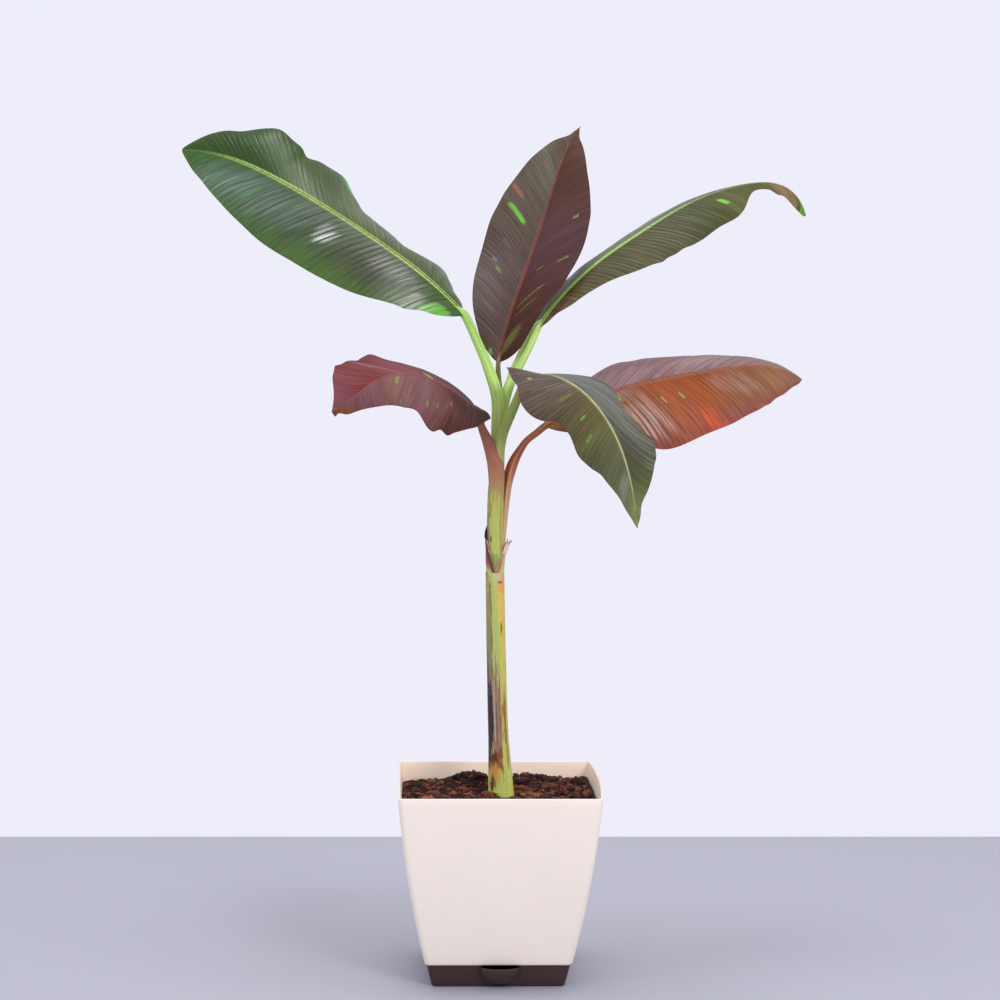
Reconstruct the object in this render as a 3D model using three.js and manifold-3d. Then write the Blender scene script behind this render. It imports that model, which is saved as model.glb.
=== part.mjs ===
// A young banana plant in a square self-watering planter, at its real size.
// Millimetres, +Z up. The origin is the middle of the planter's underside, on the surface it stands on.
// +X is the plant's right and +Y its back. Each sub-part is a mesh of its own, one closed body.
import * as THREE from "three";
import { mergeVertices } from "three/addons/utils/BufferGeometryUtils.js";
import Module from "manifold-3d";

const wasm = await Module();
wasm.setup();

// ---------------------------------------------------------------- driving dimensions

const GAP = 0.3; // between two pieces that touch

const POT = {
  rimHalf: 120, // half of the outer width at the rim
  footHalf: 87.4, // half of the outer width at the shell's lower edge
  rimZ: 234,
  footZ: 27,
  wall: 2.8,
  floor: 4,
  corner: 7, // plan radius of the corners
  innerCorner: 4, // least radius of a corner inside
  bow: 4.5, // how far the right wall bulges at the rim
  levels: 7, // steps up each wall
};

const TRAY = {
  footHalf: 79.2,
  topHalf: 85.3,
  wall: 2.4,
  floor: 3,
  corner: 6,
};

const SCOOP = {
  x: 1.5, // middle of the filling scoop along the front
  y: -84,
  z: 25, // height of its lip
  radii: [22.5, 15, 20.5], // outer half ellipsoid: across, out of the wall, down
  wall: 2.2,
};

const SOIL = {
  top: 214.8, // the level patch that the stem stands on
  patch: 22, // radius of that patch
  mounds: [
    { x: -33, y: 58, height: 16, spread: 30 },
    { x: 42, y: 78, height: 9, spread: 24 },
    { x: -110, y: 100, height: -6, spread: 50 }, // it sinks towards this corner
  ],
  ripple: 1.4, // height of the lumps
  cell: 13, // size of a facet
};

// The stem from the soil to the fork: height, middle, width across.
const STEM = [
  [215.1, 4.6, 32.6],
  [222, 4.4, 31.5],
  [243, 3.4, 29.3],
  [283, 1.2, 25.3],
  [324, -0.6, 24.3],
  [404, -2.8, 23.9],
  [478, -4.6, 23.4],
  [486, -4.7, 23.2],
  [490, -4.6, 20.6],
  [525, -4, 20.6],
  [538, -3.4, 22.4],
  [566, -2.9, 22.2],
  [597, -3.6, 20.4],
];
const STEM_DEPTH = 0.96; // depth front to back, as a share of the width

// The torn top of the old outer sheath, a thin collar round the stem.
const COLLAR = {
  low: 486.5,
  high: 527,
  thick: 1.2,
  notch: { x: -5.5, foot: 491, halfTop: 9 }, // the V split at the front
  // Its dry curls, one on the right and a dark one at the top left.
  curls: [
    { at: [10.5, -3, 519], radii: [5.6, 3.2, 6.4] },
    { at: [-14.6, -2, 534.5], radii: [2.9, 4, 10] },
  ],
};

// Each petiole runs from its leaf's foot down to the stem: x, y, z, width across, depth.
const PETIOLES = {
  lower_left: [
    [-26, -12, 679, 9.5, 8],
    [-22.4, -11.5, 662, 9.5, 8],
    [-15.4, -10, 645.4, 13, 9],
    [-9.2, -8.5, 627.3, 16, 10],
    [-4.8, -7, 612.9, 19.6, 11],
    [-3.8, -5, 596, 19, 10],
  ],
  right: [
    [54.8, 15, 660.9, 8.6, 8],
    [45, 13.5, 653, 8.4, 7.6],
    [32.2, 11, 642.8, 8.2, 7.6],
    [24.5, 9, 632.1, 9.6, 8],
    [17.6, 7, 620.2, 12, 10],
    [13.1, 5, 608.4, 13.1, 12],
    [9.6, 3, 590.5, 10.7, 13],
    [7.9, 2, 563, 9, 14],
  ],
  drooping: [
    [29.8, -25.9, 721.6, 9, 7.5],
    [24, -22, 707, 9.4, 8],
    [18.6, -18, 692.4, 10.5, 8.5],
    [13.8, -14, 680, 11.4, 9],
    [8.2, -10.5, 667.6, 12.6, 10],
    [2.9, -7.5, 653.9, 13.4, 11],
    [-1.2, -5, 633.3, 14.2, 12],
    [-2.6, -3, 596, 15, 13],
  ],
  upper_left: [
    [-42.3, 19, 792.4, 10.2, 7.5],
    [-25.6, 13, 757.3, 11, 8],
    [-17.5, 9, 739.2, 12, 9],
    [-11.2, 6, 722.3, 13.4, 10],
    [-5.8, 3, 706.6, 14.4, 12],
    [-2.3, 1, 692.2, 16.2, 14],
    [-2.3, 0, 656.7, 16.7, 16],
    [-3.2, 0, 596, 17, 16],
  ],
  upper_right: [
    [41.5, 16, 775.3, 13, 8],
    [34, 14, 759, 13.8, 9],
    [21.4, 12, 733.1, 13.7, 9.5],
    [13.9, 10, 717.3, 12.4, 10],
    [8.4, 8, 701.6, 12.2, 11],
    [3.7, 6, 680.2, 12, 12],
    [0.3, 5, 644.3, 12, 12],
    [-1, 3.5, 596, 12, 12],
  ],
  upright: [
    [-2, 16, 736.4, 5.4, 6],
    [-1.8, 14.5, 720.7, 6.4, 7],
    [-0.4, 13, 703.7, 7.4, 8],
    [-0.2, 12, 679.8, 9, 9],
    [-0.8, 10, 644, 10, 10],
    [-1.5, 5, 596, 10, 9],
  ],
};

// Each leaf blade. Lists are values at even steps from the foot to the tip, joined by a smooth curve:
//   heading   degrees from +X towards +Y, seen from above
//   rise      degrees above level
//   roll      degrees the blade is turned about its midrib, left half up
//   fold      degrees each half lifts from flat (below 0 it droops), beside the midrib
//   half      width of each half, midrib to margin
// curl is how many more degrees a half turns by its margin, round is the share of the length that each end
// takes to reach full width, and torn is where along the blade the right half is ripped off slantwise.
const LEAVES = {
  upper_left: {
    foot: [-42, 19, 793],
    length: 450,
    heading: [150, 152, 152],
    rise: [43, 32, 28, 22, 2],
    roll: [-12, -34, -42, -68, -63],
    left: { fold: [8, -3, 14], curl: -21, half: [42, 68, 81, 83, 75, 54, 13] },
    right: { fold: [-4, -18, 16], curl: -44, half: [9, 66, 63, 84, 70, 53, 10] },
    color: 0x2f5a34,
  },
  upright: {
    foot: [-2, 16, 737],
    length: 335,
    heading: [58, 54, 50],
    rise: [69, 57, 59, 61, 41],
    roll: [13, 11, 10, 19],
    left: { fold: [32, 11, 19], curl: -13, half: [14, 49, 62, 65, 41, 0] },
    right: { fold: [31, 15, 20], curl: -9, half: [27, 48, 69, 68, 41, 0] },
    color: 0x4a2f35,
  },
  upper_right: {
    foot: [41, 16, 776],
    length: 442,
    heading: [24, 21, 22],
    rise: [51, 42, 32, 29, 17, -2, -76],
    roll: [17, 12, 16, 32],
    left: { fold: [-11, -11, -20], curl: -20, half: [19, 46, 51, 56, 45, 4, 0] },
    right: { fold: [-13, -18, -26], curl: -10, half: [7, 26, 52, 62, 50, 10, 12] },
    color: 0x4b5440,
  },
  lower_left: {
    foot: [-26, -12, 680],
    length: 207,
    heading: [204, 197, 196],
    rise: [42, 29, 4, -35, -29],
    roll: [-19, -37, -49, -72],
    left: { fold: [28, -41, -13], curl: -30, half: [54, 76, 68, 43, 41, 38, 30, 17, 11] },
    right: { fold: [4, -26, 10], curl: -9, half: [40, 57, 60, 56, 55, 56, 62, 76, 63], torn: 0.7 },
    round: [0.03, 0.01],
    color: 0x6b3540,
  },
  drooping: {
    foot: [30, -26, 722],
    length: 276,
    heading: [-44, -47, -51],
    rise: [15, -20, -46, -68, -82],
    roll: [-11, 26, 35, 52],
    left: { fold: [14, -39, -2], curl: -12, half: [27, 71, 60, 72, 29, 0] },
    right: { fold: [25, -29, -31], curl: -29, half: [41, 67, 47, 57, 32, 5] },
    color: 0x4a4a3a,
  },
  right: {
    foot: [55, 15, 661],
    length: 338,
    heading: [11, 11, 12],
    rise: [36, 19, 9, 5, -31],
    roll: [15, 39, 34, 32],
    left: { fold: [1, -9, -7], curl: -25, half: [30, 52, 69, 66, 49, 13] },
    right: { fold: [-7, -26, -14], curl: -19, half: [26, 53, 86, 76, 61, 20] },
    color: 0xa04a34,
  },
};
const LEAF = {
  round: [0.07, 0.07], // usual share of the length at foot and tip that the outline rounds over
  thickShare: 0.0105, // blade thickness, as a share of the length
  ribHalf: [4, 1.4], // half width of the midrib at foot and tip
  ribDrop: [4.5, 0.6], // how far it stands out below the blade
  sections: 26,
  endSections: [0, 0.006, 0.022], // closer ones, where an end is round
  columns: [0, 0.1, 0.4, 0.7, 1], // across each half, 0 at the midrib
};

const COLORS = {
  cream: 0xf1e2d6,
  brown: 0x37262a,
  soil: 0x3b1f1a,
  stem: 0xa3b258,
  husk: 0x9a6a5c,
  petiole: 0x93c052,
  redPetiole: 0x9a5240,
};

// ---------------------------------------------------------------- small helpers

const radians = (degrees) => (degrees * Math.PI) / 180;
const mix = (a, b, t) => a + (b - a) * t;
const clamp01 = (t) => Math.min(1, Math.max(0, t));

/** A smooth curve through evenly spaced values, read at t from 0 to 1. */
function curve(values, t) {
  const last = values.length - 1;
  const at = clamp01(t) * last;
  const i = Math.min(Math.floor(at), last - 1);
  const f = at - i;
  const [p1, p2] = [values[i], values[i + 1]];
  const p0 = i > 0 ? values[i - 1] : 2 * p1 - p2;
  const p3 = i < last - 1 ? values[i + 2] : 2 * p2 - p1;
  return p1 + 0.5 * f * (p2 - p0 + f * (2 * p0 - 5 * p1 + 4 * p2 - p3 + f * (3 * (p1 - p2) + p3 - p0)));
}

/** A closed skin over rings of equal length, its two ends closed by fans about their middles. */
function loft(rings) {
  const count = rings[0].length;
  const middle = (ring) => ring.reduce((sum, p) => sum.add(p), new THREE.Vector3()).divideScalar(count);
  const points = rings.flat().concat([middle(rings[0]), middle(rings.at(-1))]);
  const [first, last] = [points.length - 2, points.length - 1];
  const triangles = [];
  for (let r = 0; r < rings.length - 1; r++) {
    for (let i = 0; i < count; i++) {
      const j = (i + 1) % count;
      const [a, b, c, d] = [r * count + i, r * count + j, (r + 1) * count + j, (r + 1) * count + i];
      triangles.push(a, b, c, a, c, d);
    }
  }
  const top = (rings.length - 1) * count;
  for (let i = 0; i < count; i++) {
    const j = (i + 1) % count;
    triangles.push(first, j, i, last, top + i, top + j);
  }
  const geometry = new THREE.BufferGeometry();
  geometry.setAttribute("position", new THREE.Float32BufferAttribute(points.flatMap((p) => p.toArray()), 3));
  geometry.setIndex(triangles);
  return geometry;
}

/** The solid that a closed geometry bounds. */
function solid(geometry) {
  const bare = geometry.clone();
  bare.deleteAttribute("normal");
  bare.deleteAttribute("uv");
  const merged = mergeVertices(bare, 1e-4);
  return new wasm.Manifold(
    new wasm.Mesh({
      numProp: 3,
      vertProperties: new Float32Array(merged.attributes.position.array),
      triVerts: new Uint32Array(merged.index.array),
    }),
  );
}

/** The largest single body of a solid, as a geometry. */
function largest(shape) {
  const bodies = shape.decompose().sort((a, b) => b.volume() - a.volume());
  const mesh = bodies[0].getMesh();
  const geometry = new THREE.BufferGeometry();
  geometry.setAttribute("position", new THREE.Float32BufferAttribute(mesh.vertProperties, 3));
  geometry.setIndex([...mesh.triVerts]);
  return geometry;
}

const plant = new THREE.Group();
plant.name = "potted_banana_plant";

function addPart(name, geometry, color, roughness = 0.6) {
  geometry.computeVertexNormals();
  const mesh = new THREE.Mesh(geometry, new THREE.MeshStandardMaterial({ color, roughness, metalness: 0 }));
  mesh.name = name;
  plant.add(mesh);
}

// ---------------------------------------------------------------- planter

/** A square outline with round corners at height z; bow pushes its right side out. */
function square(half, radius, z, bow = 0) {
  const sideSteps = 6;
  const cornerSteps = 3;
  const flat = half - radius;
  const points = [];
  for (let side = 0; side < 4; side++) {
    const turn = (side * Math.PI) / 2;
    for (let i = 1; i < sideSteps; i++) points.push([half, mix(-flat, flat, i / sideSteps), turn]);
    for (let i = 0; i <= cornerSteps; i++) {
      const a = (i / cornerSteps) * (Math.PI / 2);
      points.push([flat + radius * Math.cos(a), flat + radius * Math.sin(a), turn]);
    }
  }
  return points.map(([x, y, turn]) => {
    const p = new THREE.Vector3(x, y, z).applyAxisAngle(new THREE.Vector3(0, 0, 1), turn);
    const onRight = clamp01((p.x / half - 0.9) / 0.1);
    p.x += bow * onRight * (1 - (p.y / half) ** 2);
    return p;
  });
}

/** The shell's wall at height z, set in by inset: it leans out more and more steeply towards the foot. */
function potOutline(z, inset) {
  const depth = (POT.rimZ - z) / (POT.rimZ - POT.footZ);
  const half = POT.rimHalf - ((POT.rimHalf - POT.footHalf) * (depth + depth ** 2)) / 2;
  return square(half - inset, Math.max(POT.corner - inset, POT.innerCorner), z, POT.bow * clamp01(1 - depth * 1.6));
}

function potRings(lowZ, inset) {
  return Array.from({ length: POT.levels + 1 }, (_, i) => potOutline(mix(lowZ, POT.rimZ, i / POT.levels), inset));
}

function potShell() {
  const outer = potRings(POT.footZ, 0);
  const inner = potRings(POT.footZ + POT.floor, POT.wall).reverse();
  return loft([...outer, ...inner]);
}

function scoopBowl(shrink) {
  const [rx, ry, rz] = SCOOP.radii.map((r) => r - shrink);
  const bowl = new THREE.SphereGeometry(1, 28, 16).rotateX(Math.PI / 2);
  return bowl.scale(rx, ry, rz).translate(SCOOP.x, SCOOP.y, SCOOP.z);
}

function baseTray() {
  const top = POT.footZ - GAP;
  const { footHalf, topHalf, wall, floor, corner } = TRAY;
  const halfAt = (z) => mix(footHalf, topHalf, z / top);
  const walls = solid(
    loft([
      square(footHalf, corner, 0),
      square(topHalf, corner, top),
      square(topHalf - wall, corner - wall / 2, top),
      square(halfAt(floor) - wall, corner - wall / 2, floor),
    ]),
  );
  const reservoir = solid(
    loft([
      square(halfAt(floor) - wall, corner - wall / 2, floor),
      square(topHalf - wall, corner - wall / 2, top + 1),
    ]),
  );
  const aboveLip = new THREE.BoxGeometry(60, 60, 40).translate(SCOOP.x, SCOOP.y, SCOOP.z + 20);
  const bowl = solid(scoopBowl(0)).subtract(solid(aboveLip)).subtract(reservoir);
  const hollow = solid(scoopBowl(SCOOP.wall));
  return largest(walls.add(bowl).subtract(hollow));
}

/** How high the soil stands at a place: level round the stem, mounds and lumps elsewhere. */
function soilHeight(x, y) {
  const { top, patch, mounds, ripple } = SOIL;
  const fromStem = Math.hypot(x - STEM[0][1], y);
  const free = clamp01((fromStem - patch) / 14);
  const rises = mounds.map((m) => m.height * Math.exp(-((x - m.x) ** 2 + (y - m.y) ** 2) / m.spread ** 2));
  const heap = rises.reduce((sum, rise) => sum + rise, 0);
  const lumps = ripple * (Math.sin(x * 0.21 + y * 0.08) + Math.sin(y * 0.27 - x * 0.11));
  return top + free * (heap + lumps);
}

function pottingSoil(stem) {
  const width = 2 * POT.rimHalf + 2 * SOIL.cell;
  const cells = Math.round(width / SOIL.cell);
  const depth = POT.rimZ;
  const block = new THREE.BoxGeometry(width, width, depth, cells, cells, 1);
  const position = block.attributes.position;
  for (let i = 0; i < position.count; i++) {
    const [x, y] = [position.getX(i), position.getY(i)];
    position.setZ(i, position.getZ(i) > 0 ? soilHeight(x, y) : 0);
  }
  const levels = potRings(POT.footZ + POT.floor, 0).map((ring) => ring[0].z);
  levels[0] += GAP;
  const room = solid(loft(levels.map((z) => potOutline(z, POT.wall + GAP))));
  return largest(solid(block).intersect(room).subtract(stem));
}

// ---------------------------------------------------------------- stem and petioles

/** A limb along stations [x, y, z, width, depth], every side moved out by grow. */
function limb(stations, { grow = 0, sides = 16, steps = 14, stretch = 0 } = {}) {
  const path = new THREE.CatmullRomCurve3(stations.map(([x, y, z]) => new THREE.Vector3(x, y, z)));
  const rings = [];
  for (let s = 0; s <= steps; s++) {
    const t = s / steps;
    const centre = path.getPoint(t);
    const along = path.getTangent(t);
    if (s === 0) centre.addScaledVector(along, -stretch);
    if (s === steps) centre.addScaledVector(along, stretch);
    const deep = new THREE.Vector3(0, 1, 0).projectOnPlane(along).normalize();
    const across = new THREE.Vector3().crossVectors(deep, along);
    const width = curve(stations.map((row) => row[3]), t) / 2 + grow;
    const depth = curve(stations.map((row) => row[4]), t) / 2 + grow;
    const ring = [];
    for (let i = 0; i < sides; i++) {
      const a = (i / sides) * 2 * Math.PI;
      const point = centre.clone().addScaledVector(across, width * Math.cos(a));
      ring.push(point.addScaledVector(deep, depth * Math.sin(a)));
    }
    rings.push(ring);
  }
  return loft(rings);
}

/** The stem is built level by level, so that its cut at the soil and its top are flat. */
function stemRings(grow, levels) {
  const sides = 24;
  return levels.map(([z, x, width]) => {
    const ring = [];
    for (let i = 0; i < sides; i++) {
      const a = (i / sides) * 2 * Math.PI;
      const r = width / 2;
      ring.push(new THREE.Vector3(x + (r + grow) * Math.cos(a), (r * STEM_DEPTH + grow) * Math.sin(a), z));
    }
    return ring;
  });
}

function stemGrown(grow) {
  const [low, high] = [STEM[0], STEM.at(-1)];
  const longer = [[low[0] - grow, low[1], low[2]], ...STEM.slice(1, -1), [high[0] + grow, high[1], high[2]]];
  return loft(stemRings(grow, longer));
}

function deadSheath(stem) {
  const { low, high, thick, notch, curls } = COLLAR;
  const near = STEM.filter(([z]) => z >= 478 && z <= 538); // the stations that the band reaches over
  const outer = solid(loft(stemRings(GAP + thick, near)));
  const height = high - low;
  const slice = new THREE.BoxGeometry(80, 80, height).translate(0, 0, low + height / 2);
  const wedge = new THREE.Shape([
    new THREE.Vector2(notch.x, notch.foot),
    new THREE.Vector2(notch.x + notch.halfTop, high + 1),
    new THREE.Vector2(notch.x - notch.halfTop, high + 1),
  ]);
  const split = new THREE.ExtrudeGeometry(wedge, { depth: 30, bevelEnabled: false }).rotateX(Math.PI / 2);
  let band = outer.intersect(solid(slice)).subtract(solid(split));
  for (const { at, radii } of curls) {
    band = band.add(solid(new THREE.SphereGeometry(1, 10, 6).scale(...radii).translate(...at)));
  }
  return largest(band.subtract(stem));
}

// ---------------------------------------------------------------- leaf blades

/** The frame of a blade at t: the direction along it, its left side and its upper side, after the roll. */
function bladeFrame(leaf, t) {
  const heading = radians(curve(leaf.heading, t));
  const rise = radians(curve(leaf.rise, t));
  const roll = radians(curve(leaf.roll, t));
  const level = Math.cos(rise);
  const along = new THREE.Vector3(level * Math.cos(heading), level * Math.sin(heading), Math.sin(rise));
  const side = new THREE.Vector3(-Math.sin(heading), Math.cos(heading), 0);
  side.applyAxisAngle(along, roll);
  return { along, side, up: new THREE.Vector3().crossVectors(along, side) };
}

/** How far each end of the outline has opened at t, 0 to 1, as a quarter circle. */
function opening(t, [foot, tip]) {
  const quarter = (share) => Math.sqrt(1 - (1 - clamp01(share)) ** 2);
  return quarter(t / foot) * quarter((1 - t) / tip);
}

function halfWidth(leaf, half, t) {
  const ripped = half.torn ? clamp01((1 - t) / (1 - half.torn)) : 1;
  const width = Math.max(0, curve(half.half, t)) * opening(t, leaf.round ?? LEAF.round) * ripped;
  return Math.max(width, mix(...LEAF.ribHalf, t));
}

/** Points of the blade's middle surface at t, and the way up from each, from the left margin to the right. */
function bladeRow(leaf, t, spine) {
  const { side, up } = bladeFrame(leaf, t);
  const walk = (half, sign) => {
    const width = halfWidth(leaf, half, t);
    const fold = curve(half.fold, t);
    const point = spine.clone();
    const cells = [];
    for (let k = 1; k < LEAF.columns.length; k++) {
      const [from, to] = [LEAF.columns[k - 1], LEAF.columns[k]];
      const lift = radians(fold + (half.curl * (from + to)) / 2);
      const out = side.clone().multiplyScalar(sign * Math.cos(lift)).addScaledVector(up, Math.sin(lift));
      const above = up.clone().multiplyScalar(Math.cos(lift)).addScaledVector(side, -sign * Math.sin(lift));
      point.addScaledVector(out, width * (to - from));
      cells.push({ point: point.clone(), above, share: to });
    }
    return cells;
  };
  return [...walk(leaf.left, 1).reverse(), { point: spine.clone(), above: up, share: 0 }, ...walk(leaf.right, -1)];
}

function bladeSections() {
  const [start, end] = [LEAF.endSections, LEAF.endSections.map((t) => 1 - t).reverse()];
  const between = Array.from({ length: LEAF.sections - 1 }, (_, i) => (i + 1) / LEAF.sections);
  return [...start, ...between, ...end];
}

/** A blade as one closed body: a thin sheet with the midrib standing out underneath. */
function leafBlade(leaf) {
  const thick = leaf.length * LEAF.thickShare;
  const spine = new THREE.Vector3(...leaf.foot);
  const fineSteps = 4; // between two sections, along the midrib
  let last = 0;
  const rings = bladeSections().map((t) => {
    for (let i = 0; i < fineSteps; i++) {
      const middle = mix(last, t, (i + 0.5) / fineSteps);
      spine.addScaledVector(bladeFrame(leaf, middle).along, (leaf.length * (t - last)) / fineSteps);
    }
    last = t;
    const row = bladeRow(leaf, t, spine);
    const rib = mix(...LEAF.ribDrop, t);
    const top = row.map(({ point, above }) => point.clone().addScaledVector(above, thick / 2));
    const under = row.map(({ point, above, share }) => {
      const drop = thick / 2 + (share < 0.05 ? rib : 0);
      return point.clone().addScaledVector(above, -drop);
    });
    return [...top, ...under.reverse()];
  });
  return loft(rings);
}

// ---------------------------------------------------------------- the plant

addPart("base_tray", baseTray(), COLORS.brown, 0.7);
addPart("pot_shell", potShell(), COLORS.cream, 0.45);

const stemNear = solid(stemGrown(GAP));
addPart("potting_soil", pottingSoil(stemNear), COLORS.soil, 0.95);
addPart("pseudostem", loft(stemRings(0, STEM)), COLORS.stem);
addPart("dead_sheath", deadSheath(stemNear), COLORS.husk, 0.8);

// The outer petioles clasp the inner ones, so each is cut clear of the stem and of those laid before it.
let taken = stemNear;
for (const [name, stations] of Object.entries(PETIOLES)) {
  const color = name === "lower_left" || name === "right" ? COLORS.redPetiole : COLORS.petiole;
  addPart(`petiole_${name}`, largest(solid(limb(stations)).subtract(taken)), color);
  taken = taken.add(solid(limb(stations, { grow: GAP, stretch: GAP })));
}

for (const [name, leaf] of Object.entries(LEAVES)) {
  const foot = solid(limb(PETIOLES[name], { grow: GAP, stretch: GAP }));
  addPart(`leaf_${name}`, largest(solid(leafBlade(leaf)).subtract(foot)), leaf.color, 0.5);
}

export default plant;
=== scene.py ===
"""A young banana plant in a square self-watering planter: its looks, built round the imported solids.

The scene is in metres in the frame of the solids, +Z up and +X to the plant's right. The sizes of the plant
and its planter are written in millimetres, and lay_grid turns them into metres.
"""

import logging
import math
from dataclasses import dataclass, field
from enum import Enum
from typing import Callable, Sequence

import bpy
import numpy as np
from mathutils import Matrix


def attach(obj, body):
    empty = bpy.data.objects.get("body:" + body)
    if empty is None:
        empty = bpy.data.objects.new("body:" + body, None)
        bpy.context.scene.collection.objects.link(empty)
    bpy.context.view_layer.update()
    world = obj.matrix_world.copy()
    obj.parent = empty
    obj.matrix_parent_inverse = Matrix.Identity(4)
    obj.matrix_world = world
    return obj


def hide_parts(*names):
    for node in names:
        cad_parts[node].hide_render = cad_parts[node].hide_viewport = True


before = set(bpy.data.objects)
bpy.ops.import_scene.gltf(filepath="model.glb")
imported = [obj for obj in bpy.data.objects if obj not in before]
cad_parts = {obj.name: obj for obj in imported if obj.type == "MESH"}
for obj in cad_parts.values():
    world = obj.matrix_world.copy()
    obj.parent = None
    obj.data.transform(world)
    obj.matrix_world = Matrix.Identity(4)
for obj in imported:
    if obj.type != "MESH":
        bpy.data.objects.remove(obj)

log = logging.getLogger("banana_plant")

MM = 0.001
Array = np.ndarray

# ---------------------------------------------------------------- numbers and colours


def linear(value: int) -> tuple[float, float, float, float]:
    """Turns an sRGB hex colour into a linear one.

    Args:
        value: The colour as 0xRRGGBB.

    Returns:
        Red, green, blue and an alpha of one.
    """
    shares = [((value >> shift) & 255) / 255 for shift in (16, 8, 0)]
    red, green, blue = (s / 12.92 if s <= 0.04045 else ((s + 0.055) / 1.055) ** 2.4 for s in shares)
    return red, green, blue, 1.0


def smooth(low: float, high: float, value: Array) -> Array:
    """Eases from 0 at low to 1 at high, whichever is the larger."""
    share = np.clip((value - low) / (high - low), 0, 1)
    return share * share * (3 - 2 * share)


def quarter(share: Array) -> Array:
    """Rises from 0 to 1 as a quarter of a circle does."""
    return np.sqrt(1 - (1 - np.clip(share, 0, 1)) ** 2)


def curve(values: Sequence, at: Array) -> Array:
    """Reads a smooth curve through evenly spaced values.

    Args:
        values: Numbers, or rows of numbers, at even steps from 0 to 1.
        at: Where to read it, from 0 to 1.

    Returns:
        The value at each place.
    """
    known = np.asarray(values, float)
    known = np.concatenate([[2 * known[0] - known[1]], known, [2 * known[-1] - known[-2]]])
    last = len(values) - 1
    place = np.clip(np.asarray(at, float), 0, 1) * last
    i = np.minimum(np.floor(place).astype(int), last - 1)
    f = (place - i).reshape(np.shape(place) + (1,) * (known.ndim - 1))
    p0, p1, p2, p3 = (known[i + k] for k in range(4))
    return p1 + 0.5 * f * (p2 - p0 + f * (2 * p0 - 5 * p1 + 4 * p2 - p3 + f * (3 * (p1 - p2) + p3 - p0)))


def path_through(points: Array, at: Array) -> Array:
    """Reads a curve that passes through points in space without overshooting between uneven ones.

    Args:
        points: The points, one row each.
        at: Where to read it, from 0 at the first to 1 at the last.

    Returns:
        A point for each place.
    """
    known = np.concatenate([[2 * points[0] - points[1]], points, [2 * points[-1] - points[-2]]])
    gaps = np.sqrt(np.linalg.norm(np.diff(known, axis=0), axis=1))[:, None]
    place = np.clip(at, 0, 1) * (len(points) - 1)
    i = np.minimum(np.floor(place).astype(int), len(points) - 2)
    f = (place - i)[:, None]
    p0, p1, p2, p3 = (known[i + k] for k in range(4))
    d0, d1, d2 = (gaps[i + k] for k in range(3))
    leave = ((p1 - p0) / d0 - (p2 - p0) / (d0 + d1) + (p2 - p1) / d1) * d1
    arrive = ((p2 - p1) / d1 - (p3 - p1) / (d1 + d2) + (p3 - p2) / d2) * d1
    bend, twist = 3 * (p2 - p1) - 2 * leave - arrive, 2 * (p1 - p2) + leave + arrive
    return p1 + f * leave + f**2 * bend + f**3 * twist


AXIS_PRIMES = (73856093, 19349663, 83492791)  # one for each axis, to scatter the cells
MIXERS = ((15, 0x2C1B3C6D), (12, 0x297A2D39))  # how far to shift and what to multiply by, round by round
WORD = 0xFFFFFFFF  # the 32 bits that a cell's code keeps


def noise(*axes: Array, seed: int = 0) -> Array:
    """Gives smooth noise from -1 to 1, the same on every run.

    Args:
        axes: Two or three coordinates. The lumps are one unit apart.
        seed: Picks another field of lumps.

    Returns:
        The noise at each place.
    """
    axes = np.broadcast_arrays(*axes)
    cells = [np.floor(axis).astype(np.int64) for axis in axes]
    eases = [smooth(0, 1, axis - cell) for axis, cell in zip(axes, cells)]
    total = np.zeros(np.shape(axes[0]))
    for corner in range(2 ** len(axes)):
        weight, code = np.ones_like(total), np.full(np.shape(total), seed * 7919 + 11, np.int64)
        for k, (cell, ease) in enumerate(zip(cells, eases)):
            step = corner >> k & 1
            weight = weight * (ease if step else 1 - ease)
            code = (code ^ (cell + step) * AXIS_PRIMES[k]) & WORD
        for shift, mixer in MIXERS:
            code = (code ^ code >> shift) * mixer & WORD
        total = total + weight * ((code ^ code >> 15) / 0x7FFFFFFF - 1)
    return total


def unit(vectors: Array) -> Array:
    """Scales each vector to a length of one."""
    return vectors / np.linalg.norm(vectors, axis=-1, keepdims=True)


def stacked(*parts: Array) -> Array:
    """Stacks coordinates, stretched to one shape, into points."""
    return np.stack(np.broadcast_arrays(*parts), -1)


def turn_from(degrees: Array, start: Array | float) -> Array:
    """Gives how far round from a start each angle lies, from -180 to 180 degrees."""
    return (degrees - start + 180) % 360 - 180


def beside(degrees: Array, middle: float, far: float, close: float) -> Array:
    """Fades from 1 within so many degrees of a middle to 0 farther off than so many."""
    return smooth(far, close, np.abs(turn_from(degrees, middle)))


class Paint:
    """The colours of a surface, laid on place by place."""

    def __init__(self, base: Array) -> None:
        """Starts from a colour for each point, in linear red, green and blue."""
        self.colors = np.array(base, float)

    @classmethod
    def along(cls, colors: Sequence[int], at: Array) -> "Paint":
        """Starts from colours at even steps from 0 to 1, read at each point's place."""
        return cls(np.clip(curve([linear(c)[:3] for c in colors], at), 0, 1))

    def lay(self, color: int, weight: Array) -> None:
        """Lays a colour over the points as thickly as the weight says, from 0 to 1."""
        share = np.clip(weight, 0, 1)[..., None]
        self.colors += (np.array(linear(color)[:3]) - self.colors) * share

    def shade(self, factor: Array) -> None:
        """Makes each point lighter or darker by a factor."""
        self.colors = np.clip(self.colors * factor[..., None], 0, 1)


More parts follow.
